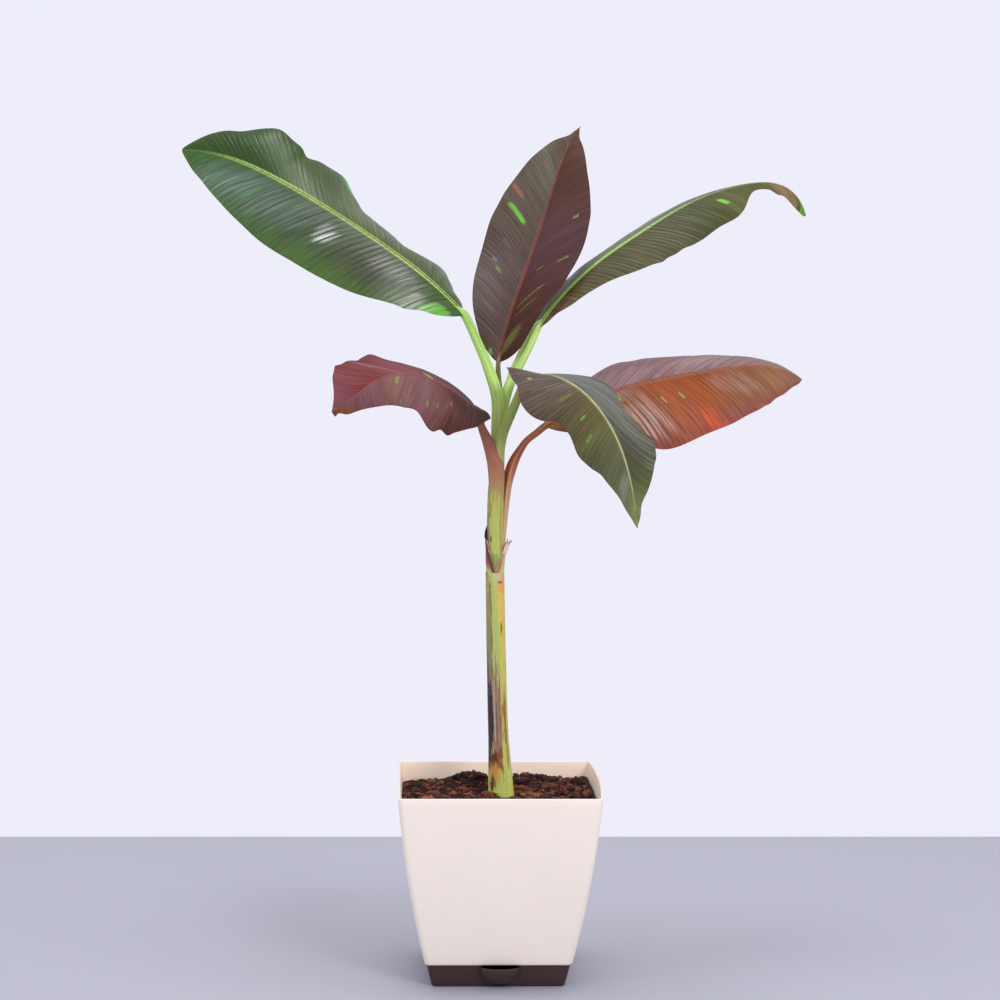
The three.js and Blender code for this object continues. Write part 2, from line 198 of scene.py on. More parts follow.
@dataclass(frozen=True)
class Patch:
    """A coloured area on a surface, in that surface's own two coordinates."""

    x: float
    y: float
    half_x: float
    half_y: float
    color: int
    strength: float = 1.0
    ragged: float = 0.25
    soft: float = 0.2

    def weight(self, x: Array, y: Array, lumps: Array) -> Array:
        """Says how thickly the patch covers each point.

        Args:
            x: First coordinate of each point.
            y: Second coordinate of each point.
            lumps: Noise that frays the patch's edge.

        Returns:
            A share from 0 to 1 for each point.
        """
        far = (np.abs((x - self.x) / self.half_x) ** 3 + np.abs((y - self.y) / self.half_y) ** 3) ** (1 / 3)
        return self.strength * smooth(1 + self.soft, 1 - self.soft, far + self.ragged * lumps)

    def lay(self, paint: Paint, x: Array, y: Array, lumps: Array) -> None:
        """Lays the patch on a surface's colours."""
        paint.lay(self.color, self.weight(x, y, lumps))


# ---------------------------------------------------------------- meshes


def use(piece: bpy.types.Object) -> None:
    """Makes one object the only selected and the active one."""
    bpy.ops.object.select_all(action="DESELECT")
    piece.select_set(True)
    bpy.context.view_layer.objects.active = piece


def start_with(primitive: Callable, **settings: object) -> bpy.types.Object:
    """Adds a primitive while nothing else is selected, and returns it."""
    bpy.ops.object.select_all(action="DESELECT")
    primitive(**settings)
    return bpy.context.active_object


def edit(piece: bpy.types.Object, *steps: Callable[[], object]) -> None:
    """Runs mesh operators on all of a piece in edit mode.

    Args:
        piece: The object to edit.
        steps: The operators, in order, each with all of the mesh selected.
    """
    use(piece)
    bpy.ops.object.mode_set(mode="EDIT")
    for step in steps:
        bpy.ops.mesh.select_all(action="SELECT")
        step()
    bpy.ops.object.mode_set(mode="OBJECT")


def modify(piece: bpy.types.Object, kind: str, **settings: object) -> None:
    """Adds a modifier with its settings and applies it."""
    use(piece)
    modifier = piece.modifiers.new(kind.title(), kind)
    for name, value in settings.items():
        setattr(modifier, name, value)
    bpy.ops.object.modifier_apply(modifier=modifier.name)


def close_ends() -> None:
    """Closes the open ends of the mesh being edited, and turns its faces outwards."""
    bpy.ops.mesh.remove_doubles(threshold=1e-6)
    bpy.ops.mesh.select_all(action="DESELECT")
    bpy.ops.mesh.select_non_manifold()
    bpy.ops.mesh.fill_holes(sides=0)
    bpy.ops.mesh.select_all(action="SELECT")
    bpy.ops.mesh.normals_make_consistent(inside=False)


def smooth_over(piece: bpy.types.Object, sharp: float) -> None:
    """Shades a piece smooth, but for the edges sharper than this angle in degrees."""
    use(piece)
    bpy.ops.object.shade_smooth_by_angle(angle=math.radians(sharp))


def lay_grid(name: str, across: int, along: int, points: Array) -> tuple[bpy.types.Object, Array, Array]:
    """Adds a grid and moves its points.

    Args:
        name: The piece's name.
        across: How many faces wide the grid is.
        along: How many faces long it is.
        points: The places in millimetres, row by row. Past the last column they start again at the first.

    Returns:
        The new piece, and the row and the column of each of its vertices.
    """
    piece = start_with(bpy.ops.mesh.primitive_grid_add, x_subdivisions=across, y_subdivisions=along, size=2)
    piece.name = piece.data.name = name
    vertices = piece.data.vertices
    places = np.empty(len(vertices) * 3, np.float32)
    vertices.foreach_get("co", places)
    column, row = (np.rint((places[k::3] + 1) / 2 * n).astype(int) for k, n in ((0, across), (1, along)))
    column %= points.shape[1]
    vertices.foreach_set("co", (points[row, column] * MM).astype(np.float32).ravel())
    return piece, row, column


@dataclass
class Shape:
    """Points in rings, in millimetres, each with its colour and its place on the surface in metres."""

    rings: Array
    tint: Array | None = None
    surface: Array | None = None

    def build(self, name: str, sharp: float = 50) -> bpy.types.Object:
        """Bends a grid round the rings and closes it.

        Args:
            name: The piece's name.
            sharp: Edges sharper than this angle, in degrees, stay crisp.

        Returns:
            The piece, with its colours in "tint" and its surface coordinates in the UV map "surface".
        """
        count, around, _ = self.rings.shape
        piece, row, column = lay_grid(name, around, count - 1, self.rings)
        mesh = piece.data
        corners = np.empty(len(mesh.loops), np.int32)
        mesh.loops.foreach_get("vertex_index", corners)
        for old in list(mesh.uv_layers):
            mesh.uv_layers.remove(old)
        if self.surface is not None:
            layer = mesh.uv_layers.new(name="surface")
            layer.data.foreach_set("uv", self.surface[row, column][corners].astype(np.float32).ravel())
        if self.tint is not None:
            colors = np.ones((len(mesh.vertices), 4), np.float32)
            colors[:, : self.tint.shape[-1]] = self.tint[row, column]
            layer = mesh.color_attributes.new(name="tint", type="FLOAT_COLOR", domain="POINT")
            layer.data.foreach_set("color", colors.ravel())
        edit(piece, close_ends)
        smooth_over(piece, sharp)
        return piece


def finish_piece(piece: bpy.types.Object, materials: Sequence, slot: str, *nodes: str) -> None:
    """Dresses a piece, sets it on the plant and lets it stand for its solids.

    Args:
        piece: The finished mesh.
        materials: Its materials, in the order of its material slots.
        slot: The material slot that its finish belongs to. Not used.
        nodes: The solids that it replaces.
    """
    piece.data.materials.clear()
    for material in materials:
        piece.data.materials.append(material)
    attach(piece, "root")
    if nodes:
        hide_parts(*nodes)
    log.info("%s: %d faces", piece.name, len(piece.data.polygons))


# ---------------------------------------------------------------- materials


Tree = bpy.types.NodeTree
Socket = bpy.types.NodeSocket
WAX_IOR = 1.45
PLASTIC_IOR = 1.49


def add_node(tree: Tree, kind: str, inputs: dict | None = None, **settings: object) -> bpy.types.Node:
    """Adds a node with its settings, values and links.

    Args:
        tree: The material's node tree.
        kind: The node's type.
        inputs: A value, or an output socket to link, for each input's name or number.
        settings: The node's own properties.

    Returns:
        The new node.
    """
    node = tree.nodes.new(kind)
    for name, value in settings.items():
        setattr(node, name, value)
    for name, value in (inputs or {}).items():
        if isinstance(value, Socket):
            tree.links.new(value, node.inputs[name])
        else:
            node.inputs[name].default_value = value
    return node


def speckle(tree: Tree, place: Socket, scale: float | tuple, detail: float = 3.0, **more: float) -> Socket:
    """Adds noise over a surface.

    Args:
        tree: The material's node tree.
        place: The socket of the surface's coordinates.
        scale: How many lumps there are to the metre, or a tuple of how many along each axis.
        detail: How many finer layers the lumps have.
        more: Other inputs of the noise.

    Returns:
        The socket of the noise, from 0 to 1.
    """
    if isinstance(scale, tuple):
        place = add_node(tree, "ShaderNodeMapping", {"Vector": place, "Scale": scale}).outputs[0]
        scale = 1.0
    inputs = {"Vector": place, "Scale": scale, "Detail": detail, **more}
    return add_node(tree, "ShaderNodeTexNoise", inputs).outputs[0]


def remap(tree: Tree, value: Socket, old: tuple, new: tuple = (0.0, 1.0), soft: bool = False) -> Socket:
    """Stretches one range of a value over another, and holds it within that.

    Args:
        tree: The material's node tree.
        value: The socket of the value.
        old: The two ends of its range.
        new: What they become.
        soft: Whether it eases in and out.

    Returns:
        The socket of the new value.
    """
    inputs = {0: value, 1: old[0], 2: old[1], 3: new[0], 4: new[1]}
    way = "SMOOTHSTEP" if soft else "LINEAR"
    return add_node(tree, "ShaderNodeMapRange", inputs, interpolation_type=way).outputs[0]


def reckon(tree: Tree, operation: str, *values: Socket | float) -> Socket:
    """Adds a sum, a product or the like of some values, and returns its socket."""
    return add_node(tree, "ShaderNodeMath", dict(enumerate(values)), operation=operation).outputs[0]


def blend(tree: Tree, share: Socket | float, first: object, second: object, mode: str = "MIX") -> Socket:
    """Mixes two colours by a share of the second, and returns the socket of the mixture."""
    inputs = {0: share, 6: first, 7: second}
    return add_node(tree, "ShaderNodeMix", inputs, data_type="RGBA", blend_type=mode).outputs[2]


def dent(tree: Tree, height: Socket, strength: float, relief: float) -> Socket:
    """Adds a bump from heights, relief metres from low to high, and returns the socket of its normals."""
    inputs = {"Height": height, "Strength": strength, "Distance": relief}
    return add_node(tree, "ShaderNodeBump", inputs).outputs[0]


def blank(name: str) -> Tree:
    """Makes an empty material and returns its node tree."""
    material = bpy.data.materials.new(name)
    material.use_nodes = True
    material.node_tree.nodes.clear()
    return material.node_tree


def wear(tree: Tree, **inputs: object) -> bpy.types.Material:
    """Ends a node tree in a Principled shader with these inputs, and returns its material."""
    named = {name.replace("_", " "): value for name, value in inputs.items()}
    shader = add_node(tree, "ShaderNodeBsdfPrincipled", named)
    add_node(tree, "ShaderNodeOutputMaterial", {"Surface": shader.outputs[0]})
    return next(material for material in bpy.data.materials if material.node_tree == tree)


def multiply(tree: Tree, color: Socket, low: float, high: float, factor: Socket) -> Socket:
    """Makes a colour darker or lighter by a factor that goes from low to high.

    Args:
        tree: The material's node tree.
        color: The socket of the colour.
        low: What the colour is multiplied by where the factor is 0.
        high: What it is multiplied by where the factor is 1.
        factor: The socket of the factor.

    Returns:
        The socket of the new colour.
    """
    level = remap(tree, factor, (0.0, 1.0), (low, high))
    grey = add_node(tree, "ShaderNodeCombineColor", {0: level, 1: level, 2: level}).outputs[0]
    return blend(tree, 1.0, color, grey, "MULTIPLY")


@dataclass(frozen=True)
class LeafFinish:
    """A living banana leaf: waxy and glossy, with fine veins that run side by side from the midrib.

    The surface coordinates are metres across the veins and metres out from the midrib, so each scale is a
    real spacing.
    """

    name: str
    roughness: float = 0.38
    crease: float = 0.2  # how much darker the lines between the folds are
    crease_half: float = 0.0008
    relief: float = 0.00035
    streak: float = 0.5
    cloud: float = 0.25
    specular: float = 0.2
    highlight_color: int = 0xA0A498  # pale colour painted where the waxy skin catches the light: the painted highlights

    # Lumps to the metre across the veins and along them, for the fine veins, the broad ones and the painted
    # highlights.
    STREAKS = (620, 26, 1)
    CLOUDS = (75, 22, 1)
    WISPS = (850, 11, 1)
    RIDGE = 1.04  # how much lighter the folds are between their lines

    def build(self, spacing: float) -> bpy.types.Material:
        """Makes the material.

        Args:
            spacing: Metres between the lines where the blade is folded.

        Returns:
            The material.
        """
        tree = blank(self.name)
        tint = add_node(tree, "ShaderNodeAttribute", attribute_name="tint")
        place = add_node(tree, "ShaderNodeUVMap", uv_map="surface").outputs[0]
        across = add_node(tree, "ShaderNodeSeparateXYZ", {0: place}).outputs[0]
        away = reckon(tree, "PINGPONG", across, spacing / 2)
        lines = remap(tree, away, (0.0, self.crease_half * 1.6), soft=True)
        streaks, clouds = speckle(tree, place, self.STREAKS), speckle(tree, place, self.CLOUDS)
        lines = reckon(tree, "MAXIMUM", lines, remap(tree, clouds, (0.45, 0.62), (0.0, 0.9)))
        color = multiply(tree, tint.outputs[0], 1 - self.streak, 1 + self.streak, streaks)
        color = multiply(tree, color, 1 - self.crease, self.RIDGE, lines)
        color = multiply(tree, color, 1 - self.cloud, 1 + self.cloud, clouds)
        # The colours' fourth channel is 1 where no highlight is painted and falls to 0 under the strongest
        # painted highlight.
        thick = reckon(tree, "SUBTRACT", 1.0, tint.outputs["Alpha"])
        level = reckon(tree, "MULTIPLY_ADD", thick, 0.3, speckle(tree, place, self.WISPS, 2.0))
        highlight_mask = remap(tree, level, (0.54, 0.78), soft=True)
        for share in (lines, thick):
            highlight_mask = reckon(tree, "MULTIPLY", highlight_mask, share)
        # Painted highlight: the pale colour laid over the leaf in streaks where the light catches its waxy
        # skin.
        color = blend(tree, highlight_mask, color, linear(self.highlight_color))
        rough = remap(tree, clouds, (0.3, 0.7), (self.roughness - 0.08, self.roughness + 0.12))
        normal = dent(tree, reckon(tree, "ADD", lines, streaks), 0.6, self.relief)
        gloss = {"IOR": WAX_IOR, "Specular_IOR_Level": self.specular}
        return wear(tree, Base_Color=color, Roughness=rough, Normal=normal, **gloss)


@dataclass(frozen=True)
class StalkFinish:
    """The skin of a fresh stalk or of the stem: smooth and waxy, with fibres that run along it.

    The surface coordinates are metres round it and metres along it.
    """

    name: str
    roughness: float = 0.45
    fibre: float = 0.0009  # metres between fibres, drawn twice as coarse as they are so that they show
    relief: float = 0.0003
    streak: float = 0.12
    along: float = 45.0  # lumps to the metre along the fibres
    spots: float = 260.0  # lumps to the metre between them

    def build(self) -> bpy.types.Material:
        """Makes the material."""
        tree = blank(self.name)
        tint = add_node(tree, "ShaderNodeAttribute", attribute_name="tint").outputs[0]
        place = add_node(tree, "ShaderNodeUVMap", uv_map="surface").outputs[0]
        fibres = speckle(tree, place, (1 / self.fibre, self.along, 1))
        spots = speckle(tree, place, self.spots)
        color = multiply(tree, tint, 1 - self.streak, 1 + self.streak, fibres)
        color = multiply(tree, color, 0.88, 1.12, spots)
        rough = remap(tree, spots, (0.0, 1.0), (self.roughness - 0.1, self.roughness + 0.15))
        normal = dent(tree, reckon(tree, "ADD", fibres, spots), 0.7, self.relief)
        return wear(tree, Base_Color=color, Roughness=rough, Normal=normal, IOR=WAX_IOR)


@dataclass(frozen=True)
class PlasticFinish:
    """Injection-moulded polypropylene: an even colour with a fine spark-eroded grain and a soft sheen."""

    name: str
    color: int
    roughness: float
    grain: float = 0.0012  # metres. The real grain is about 0.3 mm, drawn coarser so that it breaks the gloss
    relief: float = 0.00004
    cloud: float = 0.03
    clouds: float = 14.0  # lumps to the metre
    dust_and_shade: tuple[int, float, float] | None = None  # dust specks that also stand in for shade on the inner walls near the soil: their colour, and the heights where they are thickest and end

    def build(self) -> bpy.types.Material:
        """Makes the material."""
        tree = blank(self.name)
        place = add_node(tree, "ShaderNodeTexCoord").outputs["Object"]
        clouds = speckle(tree, place, self.clouds, 2.0)
        base = add_node(tree, "ShaderNodeRGB").outputs[0]
        base.default_value = linear(self.color)
        color = multiply(tree, base, 1 - self.cloud, 1 + self.cloud, clouds)
        if self.dust_and_shade is not None:
            color = self.dusted_and_shaded(tree, color, place)
        rough = remap(tree, clouds, (0.0, 1.0), (self.roughness - 0.06, self.roughness + 0.06))
        normal = dent(tree, speckle(tree, place, 1 / self.grain, 2.0), 0.5, self.relief)
        return wear(tree, Base_Color=color, Roughness=rough, Normal=normal, IOR=PLASTIC_IOR)

    def dusted_and_shaded(self, tree: Tree, color: Socket, place: Socket) -> Socket:
        """Lays the specks of dust, which also paint shade near the soil, over the plastic's colour, and
        returns the socket of the new one.
        """
        tone, thickest, end = self.dust_and_shade
        height = add_node(tree, "ShaderNodeSeparateXYZ", {0: place}).outputs["Z"]
        # Dust that also paints shade, thickest low down near the soil.
        near = remap(tree, height, (thickest * MM, end * MM), (0.7, 0.0))
        specks = remap(tree, speckle(tree, place, 180.0, 4.0), (0.35, 0.65))
        return blend(tree, reckon(tree, "MULTIPLY", near, specks), color, linear(tone))


@dataclass(frozen=True)
class CoirFinish:
    """Moist coir and bark compost: dull, crumbly and nearly black in its hollows."""

    name: str
    dark: int
    light: int
    scale: float = 420.0  # crumbs to the metre
    roughness: float = 0.85
    relief: float = 0.0012

    def build(self) -> bpy.types.Material:
        """Makes the material."""
        tree = blank(self.name)
        place = add_node(tree, "ShaderNodeTexCoord").outputs["Object"]
        crumbs = speckle(tree, place, self.scale, 4.0, Roughness=0.65)
        color = blend(tree, remap(tree, crumbs, (0.36, 0.66)), linear(self.dark), linear(self.light))
        normal = dent(tree, crumbs, 0.9, self.relief)
        dull = {"Roughness": self.roughness, "Specular_IOR_Level": 0.3}
        return wear(tree, Base_Color=color, Normal=normal, **dull)


# ---------------------------------------------------------------- leaves


class Side(Enum):
    """The two halves of a blade, seen from above with the tip ahead."""

    LEFT = 1
    RIGHT = -1


@dataclass(frozen=True)
class Fleck:
    """A pale or coloured mark that lies along the veins: its place as shares, and its two half sizes."""

    t: float
    share: float
    across: float
    along: float
    color: int
    strength: float = 1.0
    soft: float = 0.2


@dataclass(frozen=True)
class PaintedHighlight:
    """A painted highlight: pale streaks along the veins where the waxy skin catches the light, placed as a
    fleck is.
    """

    t: float
    share: float
    across: float
    along: float
    strength: float


@dataclass(frozen=True)
class Half:
    """One half of a blade, from the midrib to its margin. Lists go from the foot to the tip at even steps.

    The fold is how many degrees the half is turned up at the midrib, the curl how many more at the margin,
    and the width how many millimetres it is wide.
    """

    fold: tuple[float, ...]
    curl: float
    width: tuple[float, ...]
    colors: tuple[int, ...]
    torn: float = 0.0  # where along the half its end begins to narrow to the tear
    ruffle: tuple[float, float, float] = (0.5, 55.0, 0.0)  # the margin's waves: height, length and start
    lobes: tuple[tuple[float, float, float], ...] = ()  # bulges of the margin: t, half length, height
    outer: int | None = None  # colour towards the margin, where it is another
    sweep: tuple[float, ...] = (0.3, 0.7, 1.1, 1.5)  # how far a vein runs on for each millimetre out
    flecks: tuple[Fleck, ...] = ()
    # areas of painted highlight, where the skin catches the light
    painted_highlights: tuple[PaintedHighlight, ...] = ()


@dataclass(frozen=True)
class Blade:
    """A leaf blade. Angles are in degrees and lengths in millimetres.

    The foot is where the petiole ends. heading turns from +X towards +Y, rise is above level, and roll turns
    the blade about its midrib, left half up.
    """

    foot: tuple[float, float, float]
    length: float
    heading: tuple[float, ...]
    rise: tuple[float, ...]
    roll: tuple[float, ...]
    left: Half
    right: Half
    rib_color: int
    groove_color: int
    foot_half: float
    margin_color: int = 0x4A2A22
    ends: tuple[float, float] = (0.07, 0.07)  # share of the length that each end takes to reach full width
    pleat: tuple[float, float] = (7.0, 0.35)  # spacing and height of the folds between the main veins
    rib: tuple[float, float] = (2.3, 0.5)  # half width of the midrib near the foot and at the tip
    fade: tuple[float, float] = (0.78, 0.95)  # where along the blade the midrib's own colour fades
    FLARE = 16.0  # millimetres over which the midrib narrows from the petiole's width
    STEPS = 801

    def frames(self, t: Array) -> tuple[Array, Array, Array]:
        """Gives the direction along the blade, to its left and up from it, at each t."""
        heading, rise, roll = (np.radians(curve(v, t)) for v in (self.heading, self.rise, self.roll))
        along = np.stack([np.cos(rise) * np.cos(heading), np.cos(rise) * np.sin(heading), np.sin(rise)], -1)
        flat = np.stack([-np.sin(heading), np.cos(heading), np.zeros_like(heading)], -1)
        side = flat * np.cos(roll)[:, None] + np.cross(along, flat) * np.sin(roll)[:, None]
        return along, side, np.cross(along, side)

    def spine(self, t: Array) -> Array:
        """Gives the midrib's path at each t."""
        fine = np.linspace(0, 1, self.STEPS)
        middle = (fine[1:] + fine[:-1]) / 2
        steps = self.frames(middle)[0] * self.length / (self.STEPS - 1)
        path = np.concatenate([np.zeros((1, 3)), np.cumsum(steps, 0)]) + np.array(self.foot)
        return np.stack([np.interp(t, fine, path[:, k]) for k in range(3)], -1)

    def rib_half(self, t: Array) -> Array:
        """Gives half the midrib's width."""
        low, tip = self.rib
        return low + (tip - low) * t + (self.foot_half - low) * np.exp(-t * self.length / self.FLARE)

    def half_width(self, half: Half, t: Array) -> Array:
        """Gives the distance from the midrib to the margin."""
        foot, tip = self.ends
        width = np.maximum(0, curve(half.width, t)) * quarter(t / foot) * quarter((1 - t) / tip)
        width = width + sum(high * np.exp(-(((t - at) / long) ** 2)) for at, long, high in half.lobes)
        if half.torn:
            width = width * np.clip((1 - t) / (1 - half.torn), 0, 1)
        return np.maximum(width, self.rib_half(t) + 0.1)


@dataclass
class LeafSheet:
    """One half of a blade worked out point by point: rows from foot to tip, columns from midrib to margin."""

    blade: Blade
    side: Side
    t: Array
    half: Half = field(init=False)
    point: Array = field(init=False)
    above: Array = field(init=False)
    out: Array = field(init=False)  # millimetres from the midrib
    share: Array = field(init=False)
    vein: Array = field(init=False)  # where on the midrib the vein through the point begins, in millimetres
    fold_place: Array = field(init=False)  # the same, a little uneven, with a crease at each whole spacing

    RIB_COLUMNS = (0.0, 0.22, 0.45, 0.7, 1.0)  # shares of the midrib's half width
    BLADE_COLUMNS = 30
    THICK = 0.32  # millimetres from the middle of the sheet to its skin, near the midrib

    def __post_init__(self) -> None:
        """Walks outwards from the midrib, then folds the sheet along its veins."""
        self.half = self.blade.left if self.side is Side.LEFT else self.blade.right
        self.walk()
        self.pleat()

    def walk(self) -> None:
        """Lays out the smooth sheet, which leaves the midrib at its fold and bends on by its curl."""
        blade, half = self.blade, self.half
        _, side, up = blade.frames(self.t)
        side, up = self.side.value * side[:, None], up[:, None]
        width, rib = blade.half_width(half, self.t)[:, None], blade.rib_half(self.t)[:, None]
        shares = np.arange(1, self.BLADE_COLUMNS + 1) / self.BLADE_COLUMNS
        self.out = np.concatenate([rib * np.array(self.RIB_COLUMNS), rib + (width - rib) * shares], 1)
        self.share = self.out / width
        fold = curve(half.fold, self.t)[:, None]
        angle = np.radians(fold + half.curl * (self.share[:, 1:] + self.share[:, :-1]) / 2)[..., None]
        steps = np.diff(self.out, axis=1)[..., None] * (side * np.cos(angle) + up * np.sin(angle))
        start = blade.spine(self.t)[:, None]
        self.point = np.concatenate([start, start + np.cumsum(steps, 1)], 1)
        lift = np.radians(fold + half.curl * self.share)[..., None]
        self.above = up * np.cos(lift) - side * np.sin(lift)
        sweep = curve(half.sweep, self.t)[:, None]
        self.vein = self.t[:, None] * blade.length - sweep * self.out * (1 - 0.3 * self.share)

    def pleat(self) -> None:
        """Raises the folds along the veins and the waves of the margin."""
        vein, out, share, t = self.vein, self.out, self.share, self.t[:, None]
        spacing, height = self.blade.pleat
        beyond = smooth(0, 6, out - self.blade.rib_half(t)) * (1 - 0.7 * share**3)
        self.fold_place = vein + 0.35 * spacing * noise(vein / 23, out / 40, seed=3)
        folds = 1.6 * np.abs(np.sin(math.pi * self.fold_place / spacing)) ** 0.7 - 1
        folds = folds * np.clip(0.6 + 0.7 * noise(vein / 31, out / 50, seed=5), 0, 1.3)
        tall, long, start = self.half.ruffle
        margin = share**2.5 * smooth(0, 0.1, t) * smooth(1, 0.92, t)
        waves = np.sin(2 * math.pi * (vein / long + start) + 1.2 * noise(vein / 60, out / 60, seed=9))
        self.point = self.point + self.above * (height * folds * beyond + tall * waves * margin)[..., None]

    def skins(self) -> tuple[Array, Array]:
        """Gives the upper and the lower face: a groove along the midrib above, the round rib below."""
        blade, rib = self.blade, self.blade.rib_half(self.t)[:, None]
        inside = np.clip(self.out / rib, 0, 1)
        thick = self.THICK * (1 - 0.5 * self.share)
        near = np.exp(-self.t * blade.length / 22)[:, None]
        deep = 0.75 * rib + 0.9 * near * blade.foot_half * 0.5
        shoulder = 0.22 * rib * np.exp(-(((inside - 0.62) / 0.3) ** 2)) * (inside < 1)
        groove = (0.28 * rib + 1.6 * near) * np.exp(-((inside / 0.36) ** 2))
        top = self.point + self.above * (thick + shoulder - groove)[..., None]
        drop = thick + deep * np.sqrt(np.clip(1 - inside**2, 0, 1))
        return top, self.point - self.above * drop[..., None]

    def paint(self) -> Array:
        """Colours the half: along it, then the margin, the flecks and the midrib.

        Returns:
            The colours, with how free of painted highlight the skin is as the fourth channel.
        """
        blade, half, vein, out, share = self.blade, self.half, self.vein, self.out, self.share
        paint = Paint.along(half.colors, np.broadcast_to(self.t[:, None], share.shape))
        paint.shade(1 + 0.1 * noise(vein / 9, out / 70, seed=21) + 0.06 * noise(vein / 30, out / 25, seed=22))
        if half.outer is not None:
            frayed = share + 0.1 * noise(vein / 14, out / 40, seed=23)
            paint.lay(half.outer, 0.75 * smooth(0.5, 0.95, frayed))
        edge = half.width[len(half.width) // 2] * (1 - share)
        paint.lay(blade.margin_color, 0.75 * smooth(1.5, 0.2, edge))
        lumps = noise(vein / 2, out / 12, seed=31)
        for fleck in half.flecks:
            frayed = 0.15 + 0.8 * max(fleck.soft - 0.2, 0)
            sizes = (fleck.across, fleck.along)
            mark = Patch(*self.find(fleck), *sizes, fleck.color, fleck.strength, frayed, fleck.soft)
            mark.lay(paint, vein, out, lumps)
        inside = out / blade.rib_half(self.t)[:, None]
        fresh = 1 - 0.8 * smooth(*blade.fade, self.t)[:, None]
        paint.lay(blade.rib_color, smooth(1.25, 0.9, inside) * fresh)
        paint.lay(blade.groove_color, 0.9 * smooth(0.75, 0.4, inside) * fresh)
        # Where highlights are painted, with none painted on the midrib.
        highlight_free = np.maximum(self.highlight_free(), smooth(1.6, 1.0, inside))
        return np.concatenate([paint.colors, highlight_free[..., None]], -1)

    def highlight_free(self) -> Array:
        """Says how free of painted highlight the skin is, from 0 to 1."""
        highlight_free = np.ones_like(self.share)
        lumps = noise(self.vein / 9, self.out / 20, seed=33)
        for highlight in self.half.painted_highlights:
            area = Patch(*self.find(highlight), highlight.across, highlight.along, 0, highlight.strength, 0.5, 0.6)
            highlight_free *= 1 - area.weight(self.vein, self.out, lumps)
        return highlight_free

    def find(self, mark: Fleck | PaintedHighlight) -> tuple[float, float]:
        """Finds a mark's middle: the place of its vein and its distance from the midrib, in millimetres."""
        row = int(np.argmin(np.abs(self.t - mark.t)))
        column = int(np.argmin(np.abs(self.share[row] - mark.share)))
        return self.vein[row, column], self.out[row, column]


@dataclass(frozen=True)
class Leaf:
    """A banana leaf's blade with its midrib, as one closed body."""

    name: str
    blade: Blade
    slot: str
    finish: LeafFinish
    ROW_SPACING = 1.1  # millimetres along the midrib
    CROWDING = 0.8  # how much closer the rows are at the two ends, 0 for not at all

    def rows(self) -> Array:
        """Places the rows, closer together at the two ends."""
        even = np.linspace(0, 1, int(self.blade.length / self.ROW_SPACING))
        return even - self.CROWDING * np.sin(2 * math.pi * even) / (2 * math.pi)

    @staticmethod
    def around(top_left: Array, top_right: Array, low_right: Array, low_left: Array) -> Array:
        """Joins four sheets into rings: over the top from the left margin to the right, and back below."""
        return np.concatenate([top_left[:, ::-1], top_right[:, 1:], low_right[:, ::-1], low_left[:, 1:]], 1)

    def build(self) -> bpy.types.Object:
        """Makes the leaf and dresses it."""
        t = self.rows()
        left, right = (LeafSheet(self.blade, side, t) for side in (Side.LEFT, Side.RIGHT))
        (top_left, low_left), (top_right, low_right) = left.skins(), right.skins()
        rings = self.around(top_left, top_right, low_right, low_left)
        top_left, top_right = left.paint(), right.paint()
        # The painted highlights are on the upper face alone.
        low_left, low_right = (np.where(np.arange(4) == 3, 1.0, colors) for colors in (top_left, top_right))
        tint = self.around(top_left, top_right, low_right, low_left)
        vein = self.around(left.fold_place, right.fold_place, right.fold_place, left.fold_place)
        out = self.around(left.out, -right.out, -right.out, left.out)
        piece = Shape(rings, tint, np.stack([vein, out], -1) * MM).build(f"{self.name}_blade", 70)
        finish_piece(piece, [self.finish.build(self.blade.pleat[0] * MM)], self.slot, f"leaf_{self.name}")
        return piece


# ---------------------------------------------------------------- stalks


